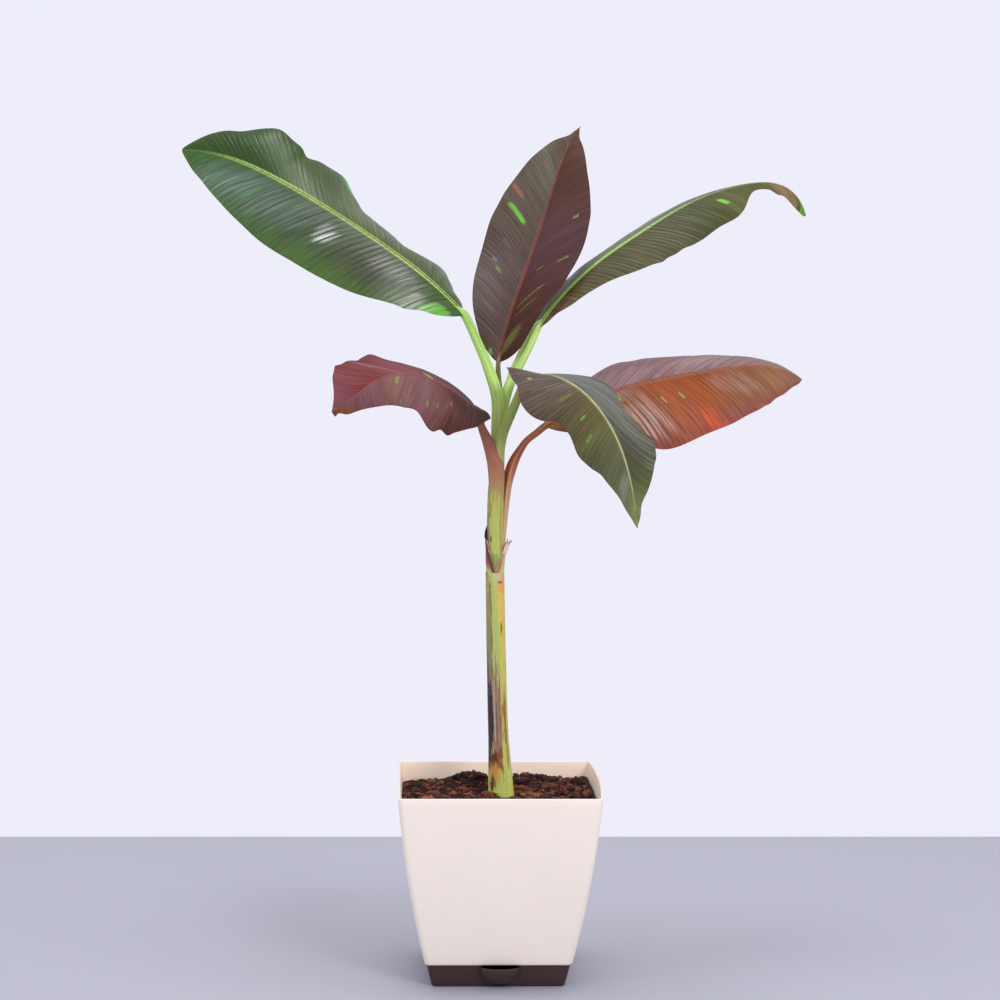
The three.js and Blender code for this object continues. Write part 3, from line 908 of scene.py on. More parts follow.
@dataclass(frozen=True)
class Petiole:
    """A leaf's stalk: a round limb with a channel along the side that faces the leaf's upper face.

    Stations run from the leaf's foot down to the stem: x, y, z, width across and depth.
    """

    name: str
    stations: tuple[tuple[float, float, float, float, float], ...]
    colors: tuple[int, ...]  # from the leaf down to the stem
    edge_color: int
    channel_color: int
    slot: str
    channel: tuple[float, float] = (0.5, 0.5)  # depth as a share of the radius, and how far down it reaches
    finish: StalkFinish = StalkFinish("waxy_stalk_skin")
    foot: tuple[tuple[float, float, float, float, float], ...] = ()  # how it runs on inside the stem
    edge: float = 0.25  # how strongly the channel's two edges are coloured
    SIDES = 40
    RINGS = 170
    # How it runs on under the midrib: millimetres along it, then how far below it, how wide and how deep, as
    # shares of its first station's depth, width and depth.
    HEAD = ((16.0, 0.3, 0.42, 0.42), (8.0, 0.12, 0.8, 0.85))
    CHANNEL_HALF = 0.55  # radians from the channel's middle to where it is about a third as deep
    LIP = 0.95  # radians from the channel's middle to the crest of each of its lips

    def rows(self, blade: Blade) -> Array:
        """Lists all its stations, from under the midrib down into the stem."""
        width, depth = self.stations[0][3:]
        reach, below, wide, deep = np.array(self.HEAD).T
        up = blade.frames(reach / blade.length)[2]
        head = blade.spine(reach / blade.length) - up * (depth * below)[:, None]
        head = np.concatenate([head, np.stack([width * wide, depth * deep], -1)], 1)
        return np.concatenate([head, np.array(self.stations), np.array(self.foot).reshape(-1, 5)])

    def build(self, blade: Blade) -> bpy.types.Object:
        """Makes the stalk that carries a blade and dresses it."""
        t = np.linspace(0, 1, self.RINGS)
        rows = self.rows(blade)
        centre = path_through(rows[:, :3], t)
        along = unit(np.gradient(centre, axis=0))
        deep = unit(np.array([0.0, 1.0, 0.0]) - along * along[:, 1:2])
        across = np.cross(deep, along)
        angle = np.linspace(0, 2 * math.pi, self.SIDES, endpoint=False)
        up = blade.frames(np.array([0.02]))[2][0]
        facing = np.arctan2(up @ deep.T, up @ across.T)
        turn = (angle[None] - facing[:, None] + math.pi) % (2 * math.pi) - math.pi
        cut, end = self.channel
        open_share = smooth(end + 0.15, max(end - 0.25, 0), t)[:, None]
        size = 1 - cut * open_share * np.exp(-((turn / self.CHANNEL_HALF) ** 2))
        size = size + 0.06 * open_share * np.exp(-(((np.abs(turn) - self.LIP) / 0.3) ** 2))
        ribs = 0.012 * np.cos(11 * angle + 2 * t[:, None])
        size = size + ribs + 0.02 * noise(angle[None] * 2, t[:, None] * 9, seed=41)
        width, depth = (curve(rows[:, k], t)[:, None, None] / 2 for k in (3, 4))
        rings = centre[:, None] + across[:, None] * width * (size * np.cos(angle))[..., None]
        rings = rings + deep[:, None] * depth * (size * np.sin(angle))[..., None]
        run = np.concatenate([[0], np.cumsum(np.linalg.norm(np.diff(centre, axis=0), axis=1))])
        surface = stacked(angle[None] * rows[:, 3].mean() / 2, run[:, None]) * MM
        colors = self.paint(t, angle, np.abs(turn), open_share)
        piece = Shape(rings, colors, surface).build(f"{self.name}_stalk", 60)
        finish_piece(piece, [self.finish.build()], self.slot, f"petiole_{self.name}")
        return piece

    def paint(self, t: Array, angle: Array, off: Array, open_share: Array) -> Array:
        """Colours the stalk.

        Args:
            t: Each ring's place along it, from 0 to 1.
            angle: Each side's place round it, in radians.
            off: How far round from the channel's middle each point is, in radians.
            open_share: How open the channel is at each ring.

        Returns:
            The colour of each point.
        """
        fray = noise(angle[None] * 3, t[:, None] * 14, seed=43)
        paint = Paint.along(self.colors, np.broadcast_to(t[:, None], off.shape))
        paint.shade(1 + 0.09 * fray)
        paint.lay(self.channel_color, 0.5 * open_share * smooth(0.75, 0.3, off))
        edges = smooth(0.16, 0.04, np.abs(off - 1.0) + 0.05 * fray)
        paint.lay(self.edge_color, self.edge * smooth(1.0, 0.75, t)[:, None] * edges)
        return paint.colors


@dataclass(frozen=True)
class Pseudostem:
    """The false stem of rolled leaf sheaths, from the soil to the fork: rows of height, middle and width."""

    rows: tuple[tuple[float, float, float], ...]
    colors: tuple[int, ...]
    patches: tuple[Patch, ...]
    depth_share: float = 0.96  # its depth as a share of its width
    finish: StalkFinish = StalkFinish("fibrous_sheath_skin", 0.5, 0.0012, 0.0005, 0.16)
    SIDES = 96
    RINGS = 420
    # The sheaths' margins that wind up the stem: degrees round at the foot, turn up to the top, and step.
    MARGINS = ((-75, 12, 0.035), (60, -20, 0.05), (170, 25, 0.05))
    SUNK = 1.5  # millimetres that it goes on below the soil's solid
    RADIUS = 12.0  # the stem's usual radius, to draw its fibres at one spacing

    def build(self) -> bpy.types.Object:
        """Makes the stem and dresses it. Patches are placed by degrees round it and by height."""
        low, high = self.rows[0][0], self.rows[-1][0]
        height = np.linspace(low - self.SUNK, high, self.RINGS)
        known = np.array(self.rows)
        x, width = (np.interp(height, known[:, 0], known[:, k])[:, None] for k in (1, 2))
        angle = np.linspace(-math.pi, math.pi, self.SIDES, endpoint=False)
        degrees, z = np.degrees(angle)[None], height[:, None]
        share = (z - low) / (high - low)
        size = np.ones((self.RINGS, self.SIDES))
        for start, turn, step in self.MARGINS:
            off = turn_from(degrees - start, turn * share)
            size += step * smooth(-1.5, 1.5, off) * smooth(70, 5, off) - step * 0.4
        size += 0.01 * noise(degrees / 9, z / 40, seed=51) + 0.012 * noise(degrees / 40, z / 25, seed=52)
        ring = width / 2 * size
        rings = stacked(x + ring * np.cos(angle), ring * np.sin(angle) * self.depth_share, z)
        paint = Paint.along(self.colors, np.broadcast_to(np.clip(share, 0, 1), ring.shape))
        paint.shade(1 + 0.1 * noise(degrees / 12, z / 60, seed=53))
        lumps = noise(degrees / 7, z / 16, seed=54) + 0.6 * noise(degrees / 3, z / 5, seed=55)
        for patch in self.patches:
            off = turn_from(degrees, patch.x)
            patch.lay(paint, off + patch.x, np.broadcast_to(z, ring.shape), lumps)
        surface = stacked(angle[None] * self.RADIUS, z) * MM
        piece = Shape(rings, paint.colors, surface).build("pseudostem_sheaths", 60)
        finish_piece(piece, [self.finish.build()], "stem", "pseudostem")
        return piece


@dataclass(frozen=True)
class DryStrip:
    """A thin twisted strip at the dry sheath's top: its path, half widths and colours from foot to tip."""

    name: str
    path: tuple[tuple[float, float, float], ...]
    half: tuple[float, ...]
    colors: tuple[int, ...]
    RINGS = 26
    SIDES = 20

    def build(self, finish: StalkFinish) -> bpy.types.Object:
        """Makes the strip and dresses it in the dry sheath's finish."""
        t = np.linspace(0, 1, self.RINGS)
        centre = path_through(np.array(self.path), t)
        along = unit(np.gradient(centre, axis=0))
        turn = 1.9 + 1.1 * t
        side = unit(np.cross(along, np.stack([np.cos(turn), np.sin(turn), 0.2 * t], -1)))
        up = np.cross(side, along)
        angle = np.linspace(0, 2 * math.pi, self.SIDES, endpoint=False)
        wide = curve(self.half, t)[:, None, None] * (1 + 0.12 * noise(t * 7, t * 0, seed=71))[:, None, None]
        bend = 0.5 * np.cos(angle[None] * 2) + 0.3 * noise(angle[None], t[:, None] * 5, seed=72)
        rings = centre[:, None] + side[:, None] * wide * np.cos(angle)[None, :, None]
        rings = rings + up[:, None] * (0.55 * np.sin(angle)[None] + bend * wide[..., 0] * 0.35)[..., None]
        paint = Paint.along(self.colors, np.broadcast_to(t[:, None], rings.shape[:2]))
        surface = stacked(angle[None] * 3 * MM, t[:, None] * 0.02)
        piece = Shape(rings, paint.colors, surface).build(self.name, 60)
        finish_piece(piece, [finish.build()], "husk")
        return piece


@dataclass(frozen=True)
class DeadSheath:
    """The torn top of the old outer sheath: a thin dry collar, split in a V at the front."""

    rows: tuple[tuple[float, float, float], ...]
    low: float = 486.5  # heights of its foot and of its torn top
    high: float = 527.0
    thick: float = 1.2
    clear: float = 0.3  # between it and the stem
    # The V's middle and its half width at the top, in degrees round the stem, and the height of its foot.
    split: tuple[float, float, float] = (-90.0, 68.0, 488.5)
    finish: StalkFinish = StalkFinish("dry_sheath_husk", 0.8, 0.0008, 0.0007, 0.3)
    SIDES = 180
    RINGS = 40
    DEPTH_SHARE = 0.97  # its depth as a share of its width
    RADIUS = 12.0  # millimetres, to draw its fibres at one spacing
    STRIPS = (
        DryStrip(
            "dry_frill",
            ((5.6, -8.0, 507), (7.2, -8.4, 512), (9.2, -8, 517), (11.8, -7, 521.5), (14.6, -6, 524.5)),
            (2.0, 3.2, 3.6, 3.0, 2.0),
            (0xC9A890, 0xD9C0B0, 0x9A6A58),
        ),
        DryStrip(
            "dry_curl",
            ((6.6, -7.6, 512), (7.6, -7.4, 517), (8.4, -6.6, 521), (9.6, -6.2, 524), (9.4, -6, 527)),
            (1.0, 1.8, 1.8, 1.4, 0.7),
            (0xC9A890, 0xC9A890, 0x8A5A48),
        ),
        DryStrip(
            "black_flap",
            ((-14.2, -1, 519), (-14.8, -1, 525), (-15.3, -1.4, 531), (-15.5, -1.8, 537), (-14.8, -2, 542)),
            (1.6, 2.3, 3.0, 2.4, 0.8),
            (0x2A1D1C, 0x1E1A1C, 0x241C1C),
        ),
    )

    def torn_top(self, degrees: Array) -> Array:
        """Gives the height of the collar's torn edge at each angle round it."""
        centre, half, foot = self.split
        off = np.abs(turn_from(degrees, centre))
        ragged = 2.2 * noise(degrees / 6, np.zeros_like(degrees), seed=61)
        ragged = ragged + 1.2 * noise(degrees / 2.5, np.ones_like(degrees), seed=62)
        slope = foot + (self.high - foot) * (off / half) ** 0.9 + 0.6 * ragged
        return np.maximum(np.minimum(self.high - 1.5 + ragged, slope), self.low + 2.5)

    def paint(self, degrees: Array, share: Array, z: Array, top: Array) -> Array:
        """Colours the collar.

        Args:
            degrees: Each column's place round it.
            share: Each row's place from its foot to its torn edge.
            z: The height of each point.
            top: The height of the torn edge at each column.

        Returns:
            The colour of each point.
        """
        paint = Paint.along((0xAEBA68, 0xA58A64, 0x9A6256), np.broadcast_to(share, z.shape))
        split = self.split[0]
        frayed = share + 0.16 * noise(degrees / 6, np.zeros_like(degrees), seed=65)[None]
        torn = smooth(23, 11, top[None] - z)  # the dark band below the torn edge
        front = beside(degrees, split, 85, 60)
        left = (degrees < split)[None]
        rim = smooth(5, 1, (top[None] - z) * 2.0)
        paint.lay(0xB2BE6C, 0.8 * beside(degrees, -15, 60, 20) * smooth(0.9, 0.3, share))
        paint.lay(0x86584A, 0.85 * beside(degrees, -150, 62, 44) * smooth(0.1, 0.34, frayed))
        paint.lay(0x6A342C, 0.95 * torn * front * left)
        paint.lay(0x9A6A54, 0.9 * torn * front * ~left)
        paint.lay(0xD0B0A0, 0.6 * torn * rim * beside(degrees, split, 85, 55))
        paint.lay(0x3A2422, 0.9 * beside(degrees, -172, 24, 4) * smooth(0.3, 0.7, share))
        paint.lay(0xC9A58C, 0.7 * beside(degrees, -25, 40, 10) * smooth(0.3, 0.8, share))
        paint.shade(1 + 0.18 * noise(np.broadcast_to(degrees[None] / 4, z.shape), z / 18, seed=64))
        return paint.colors

    @staticmethod
    def closed(outer: Array, inner: Array) -> Array:
        """Joins the two faces into rings that go up the outside and down the inside."""
        rings = np.concatenate([outer, inner[::-1]]).transpose(1, 0, 2)
        return np.concatenate([rings, rings[:1]])

    def build(self) -> bpy.types.Object:
        """Makes the collar and its strips, and dresses them."""
        angle = np.linspace(-math.pi, math.pi, self.SIDES, endpoint=False)
        degrees = np.degrees(angle)
        top = self.torn_top(degrees)
        share = np.linspace(0, 1, self.RINGS)[:, None]
        z = self.low + (top - self.low)[None] * share
        known = np.array(self.rows)
        x, width = (np.interp(z, known[:, 0], known[:, k]) for k in (1, 2))
        lip = 0.9 * smooth(0.55, 1, share) * (0.6 + noise(degrees[None] / 9, share * 2, seed=63))
        inner = width / 2 + self.clear - 0.6 * smooth(0.2, 0, share) + np.maximum(lip, 0)
        outer = inner + 0.1 + self.thick * (1 - 0.35 * share) * smooth(-0.1, 0.5, share)
        cos, sin = np.cos(angle), self.DEPTH_SHARE * np.sin(angle)
        sheets = [stacked(x + radius * cos, radius * sin, z) for radius in (outer, inner)]
        colors = self.paint(degrees, share, z, top)
        surface = stacked(angle[None] * self.RADIUS, z) * MM
        parts = (self.closed(*pair) for pair in (sheets, (colors, colors), (surface, surface)))
        piece = Shape(*parts).build("dead_sheath_collar", 60)
        finish_piece(piece, [self.finish.build()], "husk", "dead_sheath")
        for strip in self.STRIPS:
            strip.build(self.finish)
        return piece


# ---------------------------------------------------------------- planter


@dataclass(frozen=True)
class Planter:
    """The square planter: a cream shell with thin walls that stands on a low brown tray.

    Lengths are in millimetres. The bow is how far the shell's right side is pushed out at the rim.
    """

    rim_half: float = 120.0
    foot_half: float = 87.4
    rim_z: float = 234.0
    foot_z: float = 27.0
    wall: float = 2.8
    floor: float = 4.0
    corner: float = 7.0
    inner_corner: float = 4.0
    round_foot: float = 2.2
    bow: float = 4.5
    bow_depth: float = 1.6  # the shell's height over how far down the bow reaches
    tray_foot_half: float = 79.2
    tray_top_half: float = 85.3
    tray_corner: float = 6.0
    tray_edge: float = 1.2
    tray_wall: float = 2.4
    tray_floor: float = 3.0
    tray_levels: tuple[float, float] = (9.0, 18.0)  # heights of the rings up its wall
    gap: float = 0.3  # between the tray and the shell
    scoop: tuple[float, float, float] = (1.5, -84.0, 25.0)  # the middle of the filling scoop's opening
    scoop_radii: tuple[float, float, float] = (25.5, 15.0, 20.5)
    scoop_wall: float = 2.2
    shell_finish: PlasticFinish = PlasticFinish("cream_moulded_polypropylene", 0xECE1D4, 0.42)
    # The inside is a lighter, warmer copy of the cream plastic: painted light on the inner walls, whose dust
    # specks near the soil are partly painted shade.
    brightened_inside_finish: PlasticFinish = PlasticFinish(
        "dusty_cream_polypropylene", 0xF8E4CE, 0.55, dust_and_shade=(0xCCA482, 211.0, 216.0)
    )
    tray_finish: PlasticFinish = PlasticFinish("brown_moulded_polypropylene", 0x35201F, 0.5, cloud=0.1)
    CORNER_POINTS = 9
    SIDE_POINTS = 12
    WALL_RINGS = 25
    BLOCK_HALF = 30.0  # millimetres, half the height of the block that keeps the tray's inside clear

    def square(self, half: float, radius: float, z: float, bow: float = 0.0) -> Array:
        """Gives a square outline with round corners.

        Args:
            half: Half of its width.
            radius: Radius of the corners.
            z: Its height.
            bow: How far its right side is pushed out.

        Returns:
            Its points, anticlockwise.
        """
        flat = half - radius
        bend = np.linspace(0, math.pi / 2, self.CORNER_POINTS)
        along = np.linspace(-flat, flat, self.SIDE_POINTS + 2)[1:-1]
        corner = np.stack([flat + radius * np.cos(bend), flat + radius * np.sin(bend)], -1)
        side = np.concatenate([stacked(np.float64(half), along), corner])
        quarters = np.arange(4) * math.pi / 2
        turns = [np.array([[math.cos(a), math.sin(a)], [-math.sin(a), math.cos(a)]]) for a in quarters]
        points = np.concatenate([side @ turn for turn in turns])
        on_right = np.clip((points[:, 0] / half - 0.9) / 0.1, 0, 1)
        points[:, 0] += bow * on_right * (1 - (points[:, 1] / half) ** 2)
        return np.concatenate([points, np.full((len(points), 1), z)], 1)

    def half_at(self, z: float) -> float:
        """Gives half the shell's width at a height."""
        depth = (self.rim_z - z) / (self.rim_z - self.foot_z)
        return self.rim_half - (self.rim_half - self.foot_half) * (depth + depth**2) / 2

    def bow_at(self, z: float) -> float:
        """Gives how far the right side is pushed out at a height."""
        return self.bow * min(max(1 - self.bow_depth * (self.rim_z - z) / (self.rim_z - self.foot_z), 0), 1)

    def outline(self, z: float, inset: float, lift: float = 0.0) -> Array:
        """Gives the shell's wall at a height, set in by inset and moved up by lift."""
        radius = max(self.corner - inset, self.inner_corner)
        return self.square(self.half_at(z) - inset, radius, z + lift, self.bow_at(z))

    def build_shell(self) -> bpy.types.Object:
        """Makes the shell with its rounded rim and foot, and dresses it."""
        foot, lip, count = self.round_foot, self.wall / 2, self.WALL_RINGS + 1
        rings = [self.outline(self.foot_z, foot + 4)]
        for a in np.linspace(0, math.pi / 2, 5):
            rings.append(self.outline(self.foot_z + foot * (1 - math.cos(a)), foot * (1 - math.sin(a))))
        rings += [self.outline(z, 0) for z in np.linspace(self.foot_z + foot, self.rim_z - lip, count)[1:]]
        for a in np.linspace(0, math.pi, 9)[1:]:
            rings.append(self.outline(self.rim_z - lip, lip * (1 - math.cos(a)), lip * math.sin(a)))
        heights = np.linspace(self.rim_z - lip, self.foot_z + self.floor, count)[1:]
        rings += [self.outline(z, self.wall) for z in heights]
        piece = Shape(np.array(rings)).build("planter_shell", 40)
        faces = piece.data.polygons
        middles, normals = (np.empty((len(faces), 3), np.float32) for _ in range(2))
        faces.foreach_get("center", middles.ravel())
        faces.foreach_get("normal", normals.ravel())
        within = (middles[:, :2] * normals[:, :2]).sum(1) < 0
        finish_piece(piece, [self.shell_finish.build(), self.brightened_inside_finish.build()], "shell", "pot_shell")
        faces.foreach_set("material_index", within.astype(np.int32))
        return piece

    def ellipsoid(self, shrink: float) -> bpy.types.Object:
        """Adds the scoop's ellipsoid, smaller by shrink."""
        bowl = start_with(bpy.ops.mesh.primitive_uv_sphere_add, segments=64, ring_count=40, radius=1)
        middle = tuple(v * MM for v in self.scoop)
        radii = [(r - shrink) * MM for r in self.scoop_radii]
        bowl.data.transform(Matrix.Translation(middle) @ Matrix.Diagonal((*radii, 1)))
        return bowl

    def inner_block(self, half: float) -> bpy.types.Object:
        """Adds a block that fills the tray's inside, to keep the scoop out of it."""
        block = start_with(bpy.ops.mesh.primitive_cube_add, size=2)
        size = (half * MM, half * MM, self.BLOCK_HALF * MM)
        middle = (0, 0, (self.tray_floor + self.BLOCK_HALF) * MM)
        block.data.transform(Matrix.Translation(middle) @ Matrix.Diagonal((*size, 1)))
        return block

    def tray_half_at(self, z: float) -> float:
        """Gives half the tray's width at a height."""
        top = self.foot_z - self.gap
        return self.tray_foot_half + (self.tray_top_half - self.tray_foot_half) * z / top

    def build_tray(self) -> bpy.types.Object:
        """Makes the tray with its filling scoop and dresses it."""
        top = self.foot_z - self.gap
        half_at = self.tray_half_at
        edge, wall, corner = self.tray_edge, self.tray_wall, self.tray_corner
        inner_corner, up = corner - wall / 2, self.tray_levels
        rings = [self.square(self.tray_foot_half - 6, corner - 2, 0)]
        for a in np.linspace(0, math.pi / 2, 5):
            z = edge * (1 - math.cos(a))
            rings.append(self.square(half_at(z) - edge * (1 - math.sin(a)), corner, z))
        rings += [self.square(half_at(z), corner, z) for z in (*up, top - 0.5)]
        rings.append(self.square(half_at(top) - 0.5, corner, top))
        rings.append(self.square(half_at(top) - wall, inner_corner, top))
        rings += [self.square(half_at(z) - wall, inner_corner, z) for z in (*up[::-1], self.tray_floor)]
        tray = Shape(np.array(rings)).build("watering_tray", 40)
        bowl, hollow = self.ellipsoid(0), self.ellipsoid(self.scoop_wall)
        level = {"plane_co": (0, 0, self.scoop[2] * MM), "plane_no": (0, 0, 1)}
        edit(bowl, lambda: bpy.ops.mesh.bisect(**level, use_fill=True, clear_outer=True))
        block = self.inner_block(half_at(self.tray_floor) - wall)
        steps = ((block, "DIFFERENCE", bowl), (bowl, "UNION", tray), (hollow, "DIFFERENCE", tray))
        for cutter, mode, target in steps:
            modify(target, "BOOLEAN", object=cutter, operation=mode, solver="EXACT")
            bpy.data.objects.remove(cutter)
        modify(tray, "BEVEL", width=0.5 * MM, segments=2, limit_method="ANGLE", angle_limit=math.radians(50))
        smooth_over(tray, 40)
        finish_piece(tray, [self.tray_finish.build()], "tray", "base_tray")
        return tray


@dataclass(frozen=True)
class Mound:
    """A rise in the soil: its place, height and spread."""

    x: float
    y: float
    height: float
    spread: float


@dataclass(frozen=True)
class Crumbs:
    """One kind of crumb in the soil: its share of them all, dark and light colours, size and flatness."""

    name: str
    share: float
    colors: tuple[int, int]
    size: float
    flat: float


@dataclass(frozen=True)
class Soil:
    """The potting mix: a lumpy surface strewn with coir chips and crumbs."""

    planter: Planter
    mounds: tuple[Mound, ...]
    level: float = 214.8
    stem: tuple[float, float] = (4.6, 16.0)  # the stem's middle and radius at the soil
    crumbs: int = 2500
    banked: int = 16  # the brown crumbs that lie against the stem's foot
    COLUMNS = 150
    SKIN = 8.0  # how far below the level the lumpy top meets the walls
    CORNER = 4.0  # the radius of the top's corners
    CLEAR = 0.3  # between the soil and the walls
    DEPTHS = (190.0, 150.0, 105.0, 65.0)  # heights of the rings down the soil's sides
    SIZES = ((1.9, 13.0, 81), (1.8, 5.0, 82), (1.0, 2.4, 83))  # the lumps' heights, lengths and seeds
    QUIET = (22.0, 36.0)  # how far from the stem the heaps begin and are whole
    KINDS = (
        Crumbs("dark_crumbs", 0.38, (0x140907, 0x3E1E16), 2.7, 0.75),
        Crumbs("brown_crumbs", 0.46, (0x4A241A, 0x905038), 2.3, 0.75),
        Crumbs("bark_chips", 0.16, (0x6E3824, 0xB8703E), 2.4, 0.35),
    )
    SEED = 439

    def height(self, x: Array, y: Array) -> Array:
        """Gives the height of the surface under the crumbs."""
        near, far = self.QUIET
        free = np.clip((np.hypot(x - self.stem[0], y) - near) / (far - near), 0, 1)
        rise = sum(m.height * np.exp(-((x - m.x) ** 2 + (y - m.y) ** 2) / m.spread**2) for m in self.mounds)
        lumps = sum(tall * noise(x / long, y / long, seed=seed) for tall, long, seed in self.SIZES)
        return self.level - 0.6 + free * rise + (0.35 + 0.65 * free) * lumps

    def inside(self, z: float) -> float:
        """Gives half the room between the walls at a height."""
        return self.planter.half_at(z) - self.planter.wall - self.CLEAR

    def surface(self) -> Array:
        """Gives the top's points: a square of them, pressed into the round-cornered room, row by row."""
        share = np.linspace(-1, 1, self.COLUMNS)
        edge = self.inside(self.level - self.SKIN)
        round_from = edge - self.CORNER
        x, y = (side * (edge - 0.2) for side in np.meshgrid(share, share))
        over = np.hypot(np.maximum(np.abs(x) - round_from, 0), np.maximum(np.abs(y) - round_from, 0))
        pull = self.CORNER / np.maximum(over, 1e-6)
        drawn = [np.sign(v) * (round_from + (np.abs(v) - round_from) * pull) for v in (x, y)]
        x, y = (np.where(over > self.CORNER, inner, v) for inner, v in zip(drawn, (x, y)))
        bow = self.planter.bow_at(self.level - self.SKIN) * (1 - (y / edge) ** 2)
        x = np.where(x > 0, x * (1 + bow / edge), x)
        return np.stack([x, y, self.height(x, y)], -1)

    def deepen(self) -> None:
        """Draws the edge of the top down along the shell's walls, and closes it below."""
        foot = self.planter.foot_z + self.planter.floor + 0.4
        levels = (self.level - self.SKIN, *self.DEPTHS, foot)
        for above, below in zip(levels, levels[1:]):
            bpy.ops.mesh.select_all(action="DESELECT")
            bpy.ops.mesh.select_non_manifold()
            bpy.ops.mesh.extrude_region_move()
            share = self.inside(below) / self.inside(above) - 0.002
            bpy.ops.transform.resize(value=(share, share, 0), center_override=(0, 0, below * MM))
        bpy.ops.mesh.fill_holes(sides=0)
        bpy.ops.mesh.select_all(action="SELECT")
        bpy.ops.mesh.normals_make_consistent(inside=False)

    def build(self) -> bpy.types.Object:
        """Makes the soil and the crumbs on it, and dresses them."""
        count = self.COLUMNS - 1
        piece, _, _ = lay_grid("potting_mix", count, count, self.surface())
        edit(piece, self.deepen)
        smooth_over(piece, 60)
        finish = CoirFinish("moist_coir_compost", 0x1C0D0B, 0x4A2821)
        finish_piece(piece, [finish.build()], "soil", "potting_soil")
        self.strew(self.inside(self.level - self.SKIN))
        return piece

    def strew(self, half: float) -> None:
        """Strews crumbs and chips over the soil, each a small rough lump, and joins them by kind."""
        rng = np.random.default_rng(self.SEED)
        ball = start_with(bpy.ops.mesh.primitive_ico_sphere_add, subdivisions=2, radius=1)
        points = np.array([vertex.co for vertex in ball.data.vertices])
        faces = np.array([face.vertices[:] for face in ball.data.polygons])
        bpy.data.objects.remove(ball)
        for kind in self.KINDS:
            lumps = []
            while len(lumps) < int(self.crumbs * kind.share):
                lump = self.crumb(rng, kind, half, points, len(lumps))
                if lump is not None:
                    lumps.append(lump)
            mesh = bpy.data.meshes.new(kind.name)
            corners = np.concatenate([faces + i * len(points) for i in range(len(lumps))])
            mesh.from_pydata(np.concatenate(lumps) * MM, [], corners)
            piece = bpy.data.objects.new(kind.name, mesh)
            bpy.context.scene.collection.objects.link(piece)
            smooth_over(piece, 18)
            finish_piece(piece, [CoirFinish(f"coir_{kind.name}", *kind.colors, 700.0).build()], "soil")

    def crumb(self, rng: object, kind: Crumbs, half: float, points: Array, number: int) -> Array | None:
        """Makes one crumb.

        Args:
            rng: The generator that its chances come from.
            kind: What kind of crumb it is.
            half: Half the room between the walls.
            points: The ball that it is made from.
            number: How many of its kind there are already.

        Returns:
            Its points, or None where it would lie in the stem.
        """
        middle, radius = self.stem
        clump = self.mounds[0]
        x, y = rng.uniform(-half + 3, half - 3, 2)
        if kind.name == "dark_crumbs" and rng.uniform() < 0.3:
            x, y = rng.normal((clump.x, clump.y), clump.spread * 0.55)
        size = kind.size * min(max(rng.lognormal(-0.35, 0.5), 0.35), 2.4)
        lift = 0.0
        if kind.name == "brown_crumbs" and number < self.banked:
            size, way, lift = rng.uniform(2.4, 4.0), math.radians(rng.uniform(178, 240)), rng.uniform(0, 4)
            away = radius + size * 0.8
            x, y = middle + away * math.cos(way), away * math.sin(way)
        elif math.hypot(x - middle, y / 0.96) < radius + size * 0.8:
            return None
        long, wide, high = rng.uniform(0.7, 1.9), rng.uniform(0.5, 1.0), kind.flat * rng.uniform(0.6, 1.1)
        scale = size * np.array([long, wide, high])
        turn, tilt = rng.uniform(0, 2 * math.pi), rng.normal(0, 0.35)
        rotate = np.array(Matrix.Rotation(turn, 3, "Z") @ Matrix.Rotation(tilt, 3, "X"))
        rough = 1 + 0.55 * noise(*(points.T * 1.3 + rng.uniform(0, 99)), seed=number)
        lump = (points * rough[:, None] * scale) @ rotate.T
        z = float(self.height(np.array(x), np.array(y)))
        lump += (x, y, z + lift + scale[2] * rng.uniform(0.15, 0.7))
        lump[:, :2] = np.clip(lump[:, :2], -half + self.CLEAR, half - self.CLEAR)
        return lump


# ---------------------------------------------------------------- studio


